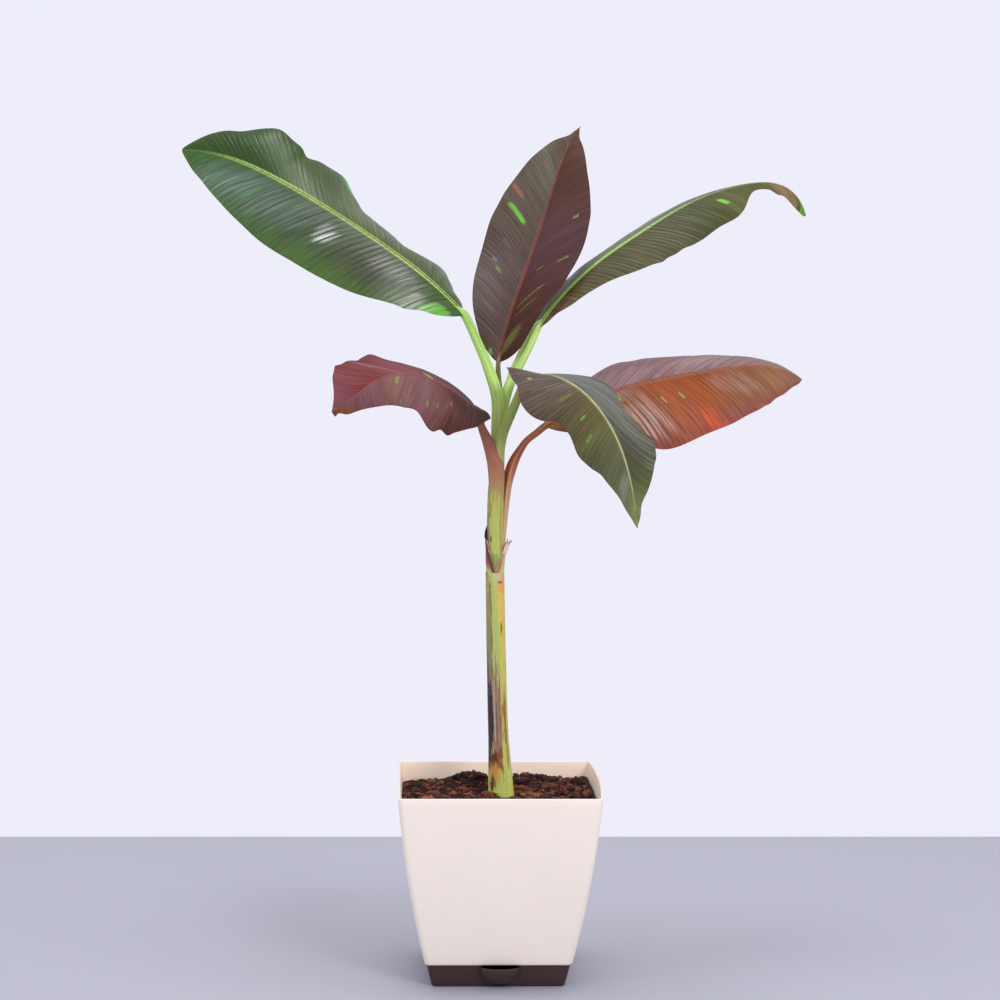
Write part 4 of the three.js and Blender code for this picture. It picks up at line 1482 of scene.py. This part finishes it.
@dataclass(frozen=True)
class Studio:
    """The camera, the lights and the floor. Lengths are in metres and angles in degrees."""

    distance: float = 3.54
    height: float = 0.928
    azimuth: float = 1.83
    yaw: float = 1.84
    pitch: float = 5.73
    roll: float = 0.385
    focal_px: float = 2976.0
    frame_px: float = 1000.0
    sensor: float = 36.0
    # Each soft light's name, place, the point it faces, the side of its square and its power in watts.
    LIGHTS = (
        ("key", (1.35, -2.4, 1.9), (0, 0, 0.6), 0.9, 40),
        ("fill", (-2.2, -1.6, 1.4), (0, 0, 0.5), 1.6, 12),
        ("top", (-0.1, 0.1, 2.7), (0, 0, 0.7), 0.8, 22),
    )
    SURROUNDINGS = 0xEEEEFA
    FLOOR_PLACE = (0, -0.37, -0.0005)
    FLOOR_HALF = (1.6, 1.13, 1)

    @staticmethod
    def place(thing: bpy.types.Object, axes: Sequence[Array], place: Sequence[float]) -> None:
        """Adds a camera or a light to the scene, with its own x, y and z axes along these directions."""
        matrix = np.eye(4)
        matrix[:3, :3] = np.stack(axes, 1)
        matrix[:3, 3] = place
        thing.matrix_world = Matrix(matrix.tolist())
        bpy.context.scene.collection.objects.link(thing)

    def camera(self) -> None:
        """Adds the camera."""
        data = bpy.data.cameras.new("camera")
        data.sensor_width = self.sensor
        data.lens = self.focal_px / self.frame_px * self.sensor
        data.clip_end = 50
        camera = bpy.data.objects.new("camera", data)
        a, yaw, pitch, roll = (math.radians(v) for v in (self.azimuth, self.yaw, self.pitch, self.roll))
        ahead = np.array([math.sin(yaw) * math.cos(pitch), math.cos(yaw) * math.cos(pitch), -math.sin(pitch)])
        right = unit(np.cross(ahead, [0, 0, 1]))
        up = np.cross(right, ahead)
        across = right * math.cos(roll) + up * math.sin(roll)
        upright = up * math.cos(roll) - right * math.sin(roll)
        place = (-self.distance * math.sin(a), -self.distance * math.cos(a), self.height)
        self.place(camera, (across, upright, -ahead), place)
        bpy.context.scene.camera = camera

    def light(self, name: str, place: tuple, aim: tuple, size: float, power: float) -> None:
        """Adds a square soft light that faces a point.

        Args:
            name: Its name.
            place: Where it hangs.
            aim: The point it faces.
            size: The side of the square.
            power: Its power in watts.
        """
        data = bpy.data.lights.new(name, "AREA")
        data.shape, data.size, data.energy = "SQUARE", size, power
        back = unit(np.array(place) - np.array(aim))
        right = unit(np.cross([0, 0, 1], back))
        self.place(bpy.data.objects.new(name, data), (right, np.cross(back, right), back), place)

    def build(self) -> None:
        """Sets up the camera, the lights, the pale surroundings and the floor."""
        self.camera()
        bpy.context.scene.view_settings.view_transform = "Standard"
        for light in self.LIGHTS:
            self.light(*light)
        world = bpy.data.worlds.new("studio")
        bpy.context.scene.world = world
        world.use_nodes = True
        background = next(node for node in world.node_tree.nodes if node.type == "BACKGROUND")
        background.inputs[0].default_value = linear(self.SURROUNDINGS)
        background.inputs[1].default_value = 1.0
        floor = start_with(bpy.ops.mesh.primitive_plane_add, size=2)
        floor.name = "floor"
        floor.data.transform(Matrix.Translation(self.FLOOR_PLACE) @ Matrix.Diagonal((*self.FLOOR_HALF, 1)))
        floor.data.materials.append(PlasticFinish("pale_studio_floor", 0xA4A4AE, 0.6).build())


# ---------------------------------------------------------------- this plant


UPPER_LEFT = Blade(
    foot=(-42, 19, 793),
    length=450,
    heading=(150, 152, 152),
    rise=(43, 32, 28, 22, 2),
    roll=(-12, -34, -42, -68, -63),
    left=Half(
        fold=(8, -3, 14),
        curl=-21,
        width=(42, 68, 81, 83, 75, 54, 13),
        colors=(0x34501A, 0x2B3A17, 0x324020, 0x39502E, 0x2E5117),
        lobes=((0.06, 0.02, -4), (0.1, 0.02, 3)),
        outer=0x3D5A21,
        sweep=(0.3, 0.4, 0.8, 1.2, 2.0),
        flecks=(
            Fleck(0.035, 0.9, 19, 15, 0x54922E),
            # these two blue-grey flecks are a painted reflection of the pale surroundings
            Fleck(0.66, 0.35, 80, 26, 0x54645C, 0.35, 0.8),
            Fleck(0.86, 0.6, 30, 14, 0x567060, 0.5, 0.8),
            Fleck(0.25, 0.45, 60, 30, 0x342E20, 0.5, 0.6),
            Fleck(0.73, 0.42, 3.0, 9, 0x3E7A3C, 0.6, 0.5),
        ),
        # painted highlights; the four narrow ones are pale bars where the light catches the folds
        painted_highlights=(
            PaintedHighlight(0.455, 0.36, 14, 13, 0.22),
            PaintedHighlight(0.479, 0.31, 1.2, 8, 0.6),
            PaintedHighlight(0.4635, 0.34, 1.6, 13, 0.9),
            PaintedHighlight(0.4475, 0.37, 1.6, 13, 0.9),
            PaintedHighlight(0.4315, 0.39, 1.4, 12, 0.85),
            PaintedHighlight(0.23, 0.3, 38, 13, 0.36),
            PaintedHighlight(0.1, 0.78, 20, 16, 0.42),
            PaintedHighlight(0.68, 0.45, 90, 26, 0.25),
        ),
    ),
    right=Half(
        fold=(-4, -18, 16),
        curl=-44,
        width=(9, 66, 63, 84, 70, 53, 10),
        colors=(0x304810, 0x39461A, 0x3D4A20, 0x263D0D, 0x26410C),
        ruffle=(0, 70, 0),
        lobes=(
            (0.05, 0.02, 4), (0.1, 0.02, -4), (0.19, 0.03, 9), (0.29, 0.05, -13), (0.42, 0.03, -3),
            (0.48, 0.035, -9), (0.59, 0.035, 11), (0.68, 0.02, -9), (0.78, 0.035, 8), (0.86, 0.03, -5),
        ),
        sweep=(0.6, 0.9, 1.2, 1.5, 2.0),
        flecks=(Fleck(0.57, 0.97, 7, 9, 0x3E8A2A),),
        # painted highlight where the skin catches the light
        painted_highlights=(PaintedHighlight(0.35, 0.35, 90, 14, 0.2),),
    ),
    rib_color=0x94B656,
    groove_color=0x5E5028,
    foot_half=5.0,
    margin_color=0x3A4A2A,
    pleat=(8.5, 0.3),
    rib=(2.6, 0.6),
)

UPRIGHT = Blade(
    foot=(-2, 16, 737),
    length=335,
    heading=(58, 54, 50),
    rise=(69, 57, 59, 61, 41),
    roll=(13, 11, 10, 19),
    left=Half(
        fold=(32, 11, 19),
        curl=-13,
        width=(14, 49, 62, 65, 41, 0),
        colors=(0x443124, 0x463632, 0x45362E, 0x4D4337, 0x3E2415),
        lobes=((0.94, 0.03, -5),),
        sweep=(0.9, 1.0, 1.2, 1.4, 2.0),
        flecks=(
            Fleck(0.6, 0.54, 3.4, 14, 0x5C9A38),
            Fleck(0.68, 0.71, 2.2, 10, 0xA0584C, 0.7, 0.4),
            Fleck(0.35, 0.54, 1.5, 4.5, 0x5A8A3C),
            Fleck(0.39, 0.66, 1.6, 4, 0x58786A, 0.8),
            Fleck(0.47, 0.54, 1.2, 6, 0x5E6A44, 0.6),
            Fleck(0.02, 0.95, 6, 2.5, 0x548A34, 0.9),
            # grey patch: a painted sheen where the skin reflects the light
            Fleck(0.78, 0.4, 26, 16, 0x565A4C, 0.3, 0.8),
        ),
        # painted highlights where the skin catches the light
        painted_highlights=(
            PaintedHighlight(0.75, 0.45, 50, 20, 0.2),
            PaintedHighlight(0.25, 0.6, 40, 20, 0.25),
        ),
    ),
    right=Half(
        fold=(31, 15, 20),
        curl=-9,
        width=(27, 48, 69, 68, 41, 0),
        colors=(0x361B10, 0x3E1D17, 0x442A2B, 0x45281D, 0x3E251F),
        lobes=((0.28, 0.05, 3), (0.94, 0.03, -3)),
        sweep=(1.6, 1.5, 1.2, 1.2, 1.6),
        flecks=(
            Fleck(0.6, 0.71, 1.8, 3.5, 0x668A38),
            Fleck(0.42, 0.71, 1.5, 7, 0x8A7A3C, 0.7),
            Fleck(0.38, 0.31, 1.2, 4, 0x7A7A40, 0.7),
            Fleck(0.265, 0.37, 1.3, 15, 0x627432, 0.85),
            Fleck(0.22, 0.4, 1.0, 12, 0x627432, 0.5),
            Fleck(0.08, 0.3, 9, 9, 0x5E6430, 0.6, 0.6),
        ),
    ),
    rib_color=0x744030,
    groove_color=0x5A3024,
    foot_half=2.9,
    pleat=(6.0, 0.15),
    rib=(1.2, 0.4),
)

UPPER_RIGHT = Blade(
    foot=(41, 16, 776),
    length=442,
    heading=(24, 21, 22),
    rise=(51, 42, 32, 29, 17, -2, -76),
    roll=(17, 12, 16, 32),
    left=Half(
        fold=(-11, -11, -20),
        curl=-20,
        width=(19, 46, 51, 56, 45, 4, 0),
        colors=(0x6E703C, 0x646C4E, 0x54584A, 0x54564E, 0x6E6A48),
        sweep=(1.6, 1.6, 1.4, 1.4),
        flecks=(
            Fleck(0.21, 0.6, 9, 8, 0xA6ABB4, 0.6),
            Fleck(0.6, 0.6, 110, 14, 0x868C86, 0.38, 0.5),
        ),
    ),
    right=Half(
        fold=(-13, -18, -26),
        curl=-10,
        width=(7, 26, 52, 62, 50, 10, 12),
        colors=(0x604C35, 0x3F391E, 0x353111, 0x333511, 0x4D4D28, 0x4A4418),
        lobes=(
            (0.07, 0.03, -3), (0.25, 0.06, -3), (0.385, 0.015, 2), (0.41, 0.015, -1), (0.46, 0.02, -2),
            (0.6, 0.06, -3), (0.77, 0.04, -9), (0.86, 0.02, 5), (0.92, 0.06, 10),
        ),
        sweep=(0.6, 0.6, 0.8, 1.2, 1.6),
        flecks=(
            Fleck(0.67, 0.37, 4.0, 5.5, 0x62A034),
            Fleck(0.9, 0.6, 22, 14, 0x80684A, 0.8, 0.5),
            Fleck(0.05, 0.98, 55, 2, 0x5A3022, 0.7, 0.5),
            Fleck(0.985, 0.5, 9, 14, 0x5E8A30, 0.9),
        ),
        # painted highlight where the skin catches the light
        painted_highlights=(PaintedHighlight(0.45, 0.4, 150, 30, 0.3),),
    ),
    rib_color=0x8FB055,
    groove_color=0x86A850,
    foot_half=6.0,
    pleat=(6.0, 0.3),
    fade=(0.4, 0.7),
)

LOWER_LEFT = Blade(
    foot=(-26, -12, 680),
    length=207,
    heading=(204, 197, 196),
    rise=(42, 29, 4, -35, -29),
    roll=(-19, -37, -49, -72),
    left=Half(
        fold=(28, -41, -13),
        curl=-30,
        width=(54, 76, 68, 43, 41, 38, 30, 17, 11),
        colors=(0x160A0A, 0x492622, 0x755151, 0x825A52, 0x6F494C, 0x6B3D2C),
        lobes=((0.08, 0.03, 6), (0.185, 0.015, 4), (0.22, 0.02, -6), (0.97, 0.03, -6)),
        sweep=(0.1, 0.2, 0.5, 0.8),
        flecks=(
            Fleck(0.56, 0.16, 1.5, 3.5, 0x6A9A44),
            Fleck(0.535, 0.83, 0.9, 4, 0x8A9A54, 0.8),
            Fleck(0.34, 0.65, 0.9, 3.6, 0x7A8A4C, 0.8),
            Fleck(0.275, 0.5, 0.8, 3, 0x7A7A4C, 0.55),
            Fleck(0.205, 0.39, 0.8, 3, 0x7A7A4C, 0.55),
            Fleck(0.69, 0.94, 1.2, 3, 0x8A8A4C, 0.7),
            Fleck(0.4, 0.95, 3, 2, 0xA03A34, 0.6, 0.5),
            Fleck(0.95, 0.9, 9, 5, 0x7E4A2C, 0.6, 0.7),
        ),
        # painted highlight where the skin catches the light
        painted_highlights=(PaintedHighlight(0.5, 0.5, 90, 30, 0.22),),
    ),
    right=Half(
        fold=(4, -26, 10),
        curl=-9,
        width=(40, 57, 60, 56, 55, 56, 62, 76, 63),
        colors=(0x220F0E, 0x56231E, 0x6D383B, 0x622627, 0x69444C),
        torn=0.7,
        lobes=(
            (0.2, 0.06, -13), (0.37, 0.08, -7), (0.6, 0.04, 13), (0.69, 0.025, -7), (0.8, 0.025, 6),
            (0.87, 0.04, 5),
        ),
        sweep=(0.9, 0.5, 1.0, 1.4),
        flecks=(
            Fleck(0.355, 0.22, 3.4, 7.5, 0x6A9A44),
            Fleck(0.985, 0.72, 2.5, 16, 0xA83A44, 0.7, 0.5),
            # pale lilac line: a painted highlight along a fold
            Fleck(0.62, 0.34, 1.3, 32, 0x94707A, 0.6, 0.6),
        ),
        # painted highlight where the skin catches the light
        painted_highlights=(PaintedHighlight(0.75, 0.4, 40, 30, 0.3),),
    ),
    rib_color=0x7C4648,
    groove_color=0x844C50,
    foot_half=4.6,
    margin_color=0x5A2428,
    ends=(0.03, 0.01),
    pleat=(3.0, 0.04),
    rib=(0.6, 0.35),
)

DROOPING = Blade(
    foot=(30, -26, 722),
    length=276,
    heading=(-44, -47, -51),
    rise=(15, -20, -46, -68, -82),
    roll=(-11, 26, 35, 52),
    left=Half(
        fold=(14, -39, -2),
        curl=-12,
        width=(27, 71, 60, 72, 29, 0),
        colors=(0x414137, 0x44413B, 0x404131, 0x3D3F26, 0x6A773B),
        lobes=((0.35, 0.03, 4), (0.6, 0.04, 4), (0.9, 0.05, -5)),
        sweep=(1.4, 2.0, 2.2, 1.8, 1.4),
        # painted highlight where the skin catches the light
        painted_highlights=(PaintedHighlight(0.4, 0.5, 110, 40, 0.5),),
    ),
    right=Half(
        fold=(25, -29, -31),
        curl=-29,
        width=(41, 67, 47, 57, 32, 5),
        colors=(0x54483F, 0x4C3F31, 0x585430, 0x595D3C, 0x888B56),
        lobes=((0.03, 0.015, 6), (0.14, 0.03, -5), (0.34, 0.03, -6), (0.62, 0.06, -2), (0.72, 0.04, -3)),
        sweep=(-0.4, -0.3, 0.2, 1.2, 2.4),
        flecks=(
            Fleck(0.43, 0.43, 1.6, 4, 0x6A9A3C),
            Fleck(0.53, 0.54, 1.3, 6, 0x6A8A3C, 0.9),
            Fleck(0.135, 0.6, 1.6, 3, 0x6A9A3C),
            Fleck(0.3, 0.36, 1.4, 9, 0x667238, 0.5),
            # grey fleck near the tip: a painted highlight
            Fleck(0.83, 0.5, 8, 9, 0x6E746A, 0.5, 0.7),
            Fleck(0.1, 0.95, 12, 6, 0x4A3A38, 0.7, 0.6),
        ),
        # painted highlights; the first is the pale gloss at the tip
        painted_highlights=(
            PaintedHighlight(0.82, 0.3, 11, 10, 0.6),
            PaintedHighlight(0.2, 0.4, 50, 24, 0.2),
        ),
    ),
    rib_color=0x7E8A44,
    groove_color=0xB09A8A,
    foot_half=4.4,
    pleat=(4.5, 0.22),
    rib=(1.5, 0.4),
)

RIGHT = Blade(
    foot=(55, 15, 661),
    length=338,
    heading=(11, 11, 12),
    rise=(36, 19, 9, 5, -31),
    roll=(15, 39, 34, 32),
    left=Half(
        fold=(1, -9, -7),
        curl=-25,
        width=(30, 52, 69, 66, 49, 13),
        colors=(0x845861, 0x83646A, 0x896261, 0x846765, 0x6C503E),
        lobes=((0.41, 0.04, -4), (0.63, 0.04, 5), (0.8, 0.05, -8)),
        sweep=(0.8, 1.2, 1.4, 1.6),
        flecks=(
            Fleck(0.505, 0.65, 3, 9, 0xA86E48, 0.8),
            Fleck(0.65, 0.54, 2, 8, 0xA86E48, 0.7),
        ),
        # painted highlights where the skin catches the light
        painted_highlights=(
            PaintedHighlight(0.35, 0.3, 60, 20, 0.5),
            PaintedHighlight(0.65, 0.4, 40, 24, 0.6),
        ),
    ),
    right=Half(
        fold=(-7, -26, -14),
        curl=-19,
        width=(26, 53, 86, 76, 61, 20),
        colors=(0x8C6538, 0x75412A, 0x78451D, 0x834013, 0x7A4F32, 0x78503D),
        lobes=((0.16, 0.06, 7), (0.25, 0.05, 5), (0.75, 0.06, -3), (0.87, 0.02, 2), (0.97, 0.02, -3)),
        outer=0x7A3A34,
        sweep=(0.3, 0.5, 0.8, 1.1, 1.8),
        flecks=(
            Fleck(0.5, 0.45, 26, 60, 0x964624, 0.6, 0.7),
            Fleck(0.2, 0.85, 40, 14, 0x8A5A58, 0.5, 0.8),
            Fleck(0.61, 0.84, 6, 16, 0xBC4A2E, 0.7, 0.8),
            Fleck(0.83, 0.96, 5, 3, 0xA84434, 0.6, 0.7),
            Fleck(0.285, 0.14, 1.5, 5, 0x7A9A44),
            Fleck(0.45, 0.31, 1.3, 4, 0x9AAA58, 0.9),
            Fleck(0.52, 0.3, 0.9, 4, 0x9AAA58, 0.9),
            Fleck(0.32, 0.54, 1.1, 6, 0x8A9A50, 0.8),
        ),
        # painted highlights where the skin catches the light
        painted_highlights=(
            PaintedHighlight(0.33, 0.5, 30, 36, 0.6),
            PaintedHighlight(0.72, 0.3, 26, 20, 0.42),
        ),
    ),
    rib_color=0x8A5644,
    groove_color=0x84503E,
    foot_half=4.4,
    margin_color=0x8A2E24,
    pleat=(6.0, 0.1),
    rib=(1.8, 0.5),
)

LEAVES = (
    Leaf(
        "upper_left",
        UPPER_LEFT,
        "green_leaf",
        LeafFinish("glossy_green_leaf", 0.36, crease=0.25, crease_half=0.0013, specular=0.3, highlight_color=0xC6CAC4),
    ),
    Leaf(
        "upright",
        UPRIGHT,
        "maroon_leaf",
        LeafFinish("maroon_leaf_skin", 0.42, crease=0.14, highlight_color=0x8A8E84),
    ),
    Leaf("upper_right", UPPER_RIGHT, "olive_leaf", LeafFinish("olive_leaf_skin", 0.46, highlight_color=0x8C8E62)),
    Leaf(
        "lower_left",
        LOWER_LEFT,
        "maroon_leaf",
        LeafFinish("red_maroon_leaf_skin", 0.5, crease=0.07, specular=0.12, highlight_color=0x9A747A),
    ),
    Leaf(
        "drooping",
        DROOPING,
        "olive_leaf",
        LeafFinish("dark_olive_leaf_skin", 0.42, crease=0.16, highlight_color=0x9A9E94),
    ),
    Leaf(
        "right",
        RIGHT,
        "red_leaf",
        LeafFinish("rust_red_leaf_skin", 0.42, crease=0.14, streak=0.8, highlight_color=0xC2A8A0),
    ),
)

PETIOLES = (
    Petiole(
        "lower_left",
        (
            (-26, -12, 679, 9.5, 8),
            (-22.4, -11.5, 662, 9.5, 8),
            (-15.4, -10, 645.4, 13, 9),
            (-9.2, -8.5, 627.3, 16, 10),
            (-4.8, -7, 612.9, 19.6, 11),
            (-3.8, -5, 596, 19, 10),
        ),
        (0x8A4630, 0x8E4C36, 0x945642, 0x9A6046, 0x9E7A4C, 0x9AA452),
        0xB05A44,
        0xA8704E,
        "red_petiole",
        (0.15, 0.3),
        foot=((-3.4, -3, 575, 17.5, 11), (-3.2, -1.5, 560, 15, 11)),
    ),
    Petiole(
        "right",
        (
            (54.8, 15, 660.9, 8.6, 8),
            (45, 13.5, 653, 8.4, 7.6),
            (32.2, 11, 642.8, 8.2, 7.6),
            (24.5, 9, 632.1, 9.6, 8),
            (17.6, 7, 620.2, 12, 10),
            (13.1, 5, 608.4, 13.1, 12),
            (9.6, 3, 590.5, 10.7, 13),
            (6.8, 2, 563, 9, 14),
        ),
        (0xB4824A, 0xB4683C, 0xB05C38, 0xA8583E, 0xB48A62, 0xB4A868),
        0xC89A6C,
        0x8A3A26,
        "red_petiole",
        (0.3, 0.9),
        foot=((5.6, 1.5, 540, 6.8, 14), (3.2, 0.5, 512, 6, 12)),
        edge=0.7,
    ),
    Petiole(
        "drooping",
        (
            (29.8, -25.9, 721.6, 9, 7.5),
            (24, -22, 707, 9.4, 8),
            (18.6, -18, 692.4, 10.5, 8.5),
            (13.8, -14, 680, 11.4, 9),
            (8.2, -10.5, 667.6, 12.6, 10),
            (2.9, -7.5, 653.9, 13.4, 11),
            (-1.2, -5, 633.3, 14.2, 12),
            (-2.6, -3, 596, 15, 13),
        ),
        (0x9A8A4C, 0x94984C, 0x90A04E, 0x9EA856, 0xA0A656),
        0x8A5A38,
        0x8CA04C,
        "green_petiole",
        foot=((-2.6, -1.5, 575, 15, 13),),
    ),
    Petiole(
        "upper_left",
        (
            (-42.3, 19, 792.4, 10.2, 7.5),
            (-25.6, 13, 757.3, 11, 8),
            (-17.5, 9, 739.2, 12, 9),
            (-11.2, 6, 722.3, 13.4, 10),
            (-5.8, 3, 706.6, 14.4, 12),
            (-2.3, 1, 692.2, 16.2, 14),
            (-2.3, 0, 656.7, 16.7, 16),
            (-3.2, 0, 596, 17, 16),
        ),
        (0x8EB458, 0x9AC062, 0xA6CA66, 0xA4B85C, 0xA0AC54),
        0x5A4A30,
        0x7AA048,
        "green_petiole",
        foot=((-3.2, 0, 575, 16, 15),),
    ),
    Petiole(
        "upper_right",
        (
            (41.5, 16, 775.3, 13, 8),
            (34, 14, 759, 13.8, 9),
            (21.4, 12, 733.1, 13.7, 9.5),
            (13.9, 10, 717.3, 12.4, 10),
            (8.4, 8, 701.6, 12.2, 11),
            (3.7, 6, 680.2, 12, 12),
            (0.3, 5, 644.3, 12, 12),
            (-1, 3.5, 596, 12, 12),
        ),
        (0xB8D87A, 0xB4D676, 0xAED070, 0xA4CA68, 0x98B458),
        0x8A5A4A,
        0x8CB458,
        "green_petiole",
        foot=((-1.2, 2, 575, 12, 12),),
    ),
    Petiole(
        "upright",
        (
            (-2, 16, 736.4, 5.4, 6),
            (-1.8, 14.5, 720.7, 6.4, 7),
            (-0.4, 13, 703.7, 7.4, 8),
            (-0.2, 12, 679.8, 9, 9),
            (-0.8, 10, 644, 10, 10),
            (-1.5, 5, 596, 10, 9),
        ),
        (0x6A6A38, 0x6A6438, 0x7A8A48, 0x8AA050),
        0x5A3A2A,
        0x6A5A38,
        "green_petiole",
        foot=((-2, 3, 575, 9, 9),),
    ),
)

STEM_ROWS = (
    (215.1, 4.6, 32.6),
    (222, 4.4, 31.5),
    (243, 3.4, 29.3),
    (283, 1.2, 25.3),
    (324, -0.6, 24.3),
    (404, -2.8, 23.9),
    (478, -4.6, 23.4),
    (486, -4.7, 23.2),
    (490, -4.6, 20.6),
    (525, -4.4, 20.6),
    (538, -4.3, 21.8),
    (566, -4.1, 21.6),
    (585, -4.2, 20.4),
    (594, -4.0, 19.0),
    (600, -3.6, 16.0),
    (604, -3.6, 10.0),
)

# Degrees round the stem (-90 at the front, 0 on the right, 180 on the left), height, half sizes and colour.
STEM_PATCHES = (
    Patch(-172, 345, 26, 90, 0x4A3630, 0.95, 0.35),
    Patch(-112, 315, 38, 62, 0x8A6A58, 0.95, 0.3),
    Patch(-138, 412, 19, 62, 0x7E6A50, 0.85, 0.4),
    Patch(-150, 302, 30, 52, 0x2E1C1C, 1.0, 0.35),
    Patch(-112, 320, 4, 38, 0xB4A298, 0.8, 0.4),
    Patch(-100, 300, 4, 30, 0x5E4238, 0.8, 0.4),
    Patch(-79, 312, 5, 52, 0x8A4E34, 0.85, 0.4),
    Patch(-158, 400, 12, 9, 0x7A9A3C, 0.8, 0.4),
    Patch(-48, 312, 13, 34, 0x9A4E2A, 0.95, 0.35),
    Patch(-42, 268, 8, 18, 0x9A5A34, 0.85, 0.4),
    Patch(-130, 241, 34, 13, 0xB48A3C, 0.7, 0.4),
    Patch(-115, 259, 42, 13, 0x84401C, 0.95, 0.45),
    Patch(-128, 264, 26, 7, 0x42201A, 0.85, 0.7),
    Patch(-116, 245, 26, 8, 0xC4903E, 0.75, 0.6),
    Patch(-135, 231, 13, 8, 0x5A3420, 0.95, 0.5),
    Patch(-45, 412, 22, 70, 0xC8AE48, 0.75, 0.35),
    Patch(-42, 455, 36, 30, 0xD0AE50, 0.85, 0.3),
    Patch(-42, 471, 30, 10, 0xD89448, 0.9, 0.3),
    Patch(-60, 482, 24, 6, 0xC8A07C, 0.85, 0.3),
    Patch(-60, 475, 15, 1.3, 0x54423C, 0.95, 0.3),
    Patch(-58, 420, 6, 7, 0x9A4A24, 0.95, 0.5),
    Patch(-102, 350, 3, 9, 0x7A5A34, 0.8, 0.5),
    Patch(-122, 442, 5, 44, 0x7A5A38, 0.85, 0.4),
    Patch(-154, 442, 20, 50, 0x8E8A4C, 0.7, 0.4),
    Patch(-110, 482, 40, 6, 0xB8BE80, 0.4, 0.6),
    Patch(-170, 505, 24, 26, 0x6A3A32, 0.8, 0.3),
    Patch(-158, 555, 30, 46, 0x7E6234, 0.7, 0.9),
    Patch(-172, 560, 12, 46, 0x5E4030, 0.8, 0.4),
    Patch(-100, 500, 24, 9, 0x6E9638, 0.8, 0.3),
    Patch(-62, 545, 5, 38, 0x8A7040, 0.75, 0.4),
    Patch(-44, 560, 10, 36, 0xB8985C, 0.6, 0.5),
    Patch(-95, 602, 80, 24, 0x9E7850, 0.9, 0.5, 0.9),
    Patch(-128, 527, 5, 3, 0x4A3A2A, 0.9, 0.3),
    Patch(100, 300, 50, 60, 0x7A5A42, 0.8, 0.4),
    Patch(60, 420, 20, 70, 0x8A7A48, 0.6, 0.4),
)
STEM_COLORS = (0xBCC660, 0xAEB95C, 0xAAB55C, 0xA8B45C, 0xA8B45C, 0xA8AE54, 0xA4A850)

MOUNDS = (Mound(-36, 58, 15, 22), Mound(42, 78, 9, 24), Mound(-110, 100, -6, 50))


def main() -> None:
    """Builds the plant, its planter and the studio."""
    logging.basicConfig(level=logging.INFO, format="%(name)s: %(message)s")
    bpy.ops.object.select_all(action="DESELECT")
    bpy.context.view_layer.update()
    planter = Planter()
    planter.build_shell()
    planter.build_tray()
    Soil(planter, MOUNDS).build()
    Pseudostem(STEM_ROWS, STEM_COLORS, STEM_PATCHES).build()
    DeadSheath(STEM_ROWS).build()
    blades = {leaf.name: leaf.blade for leaf in LEAVES}
    for petiole in PETIOLES:
        petiole.build(blades[petiole.name])
    for leaf in LEAVES:
        leaf.build()
    Studio().build()


if __name__ == "__main__":
    main()
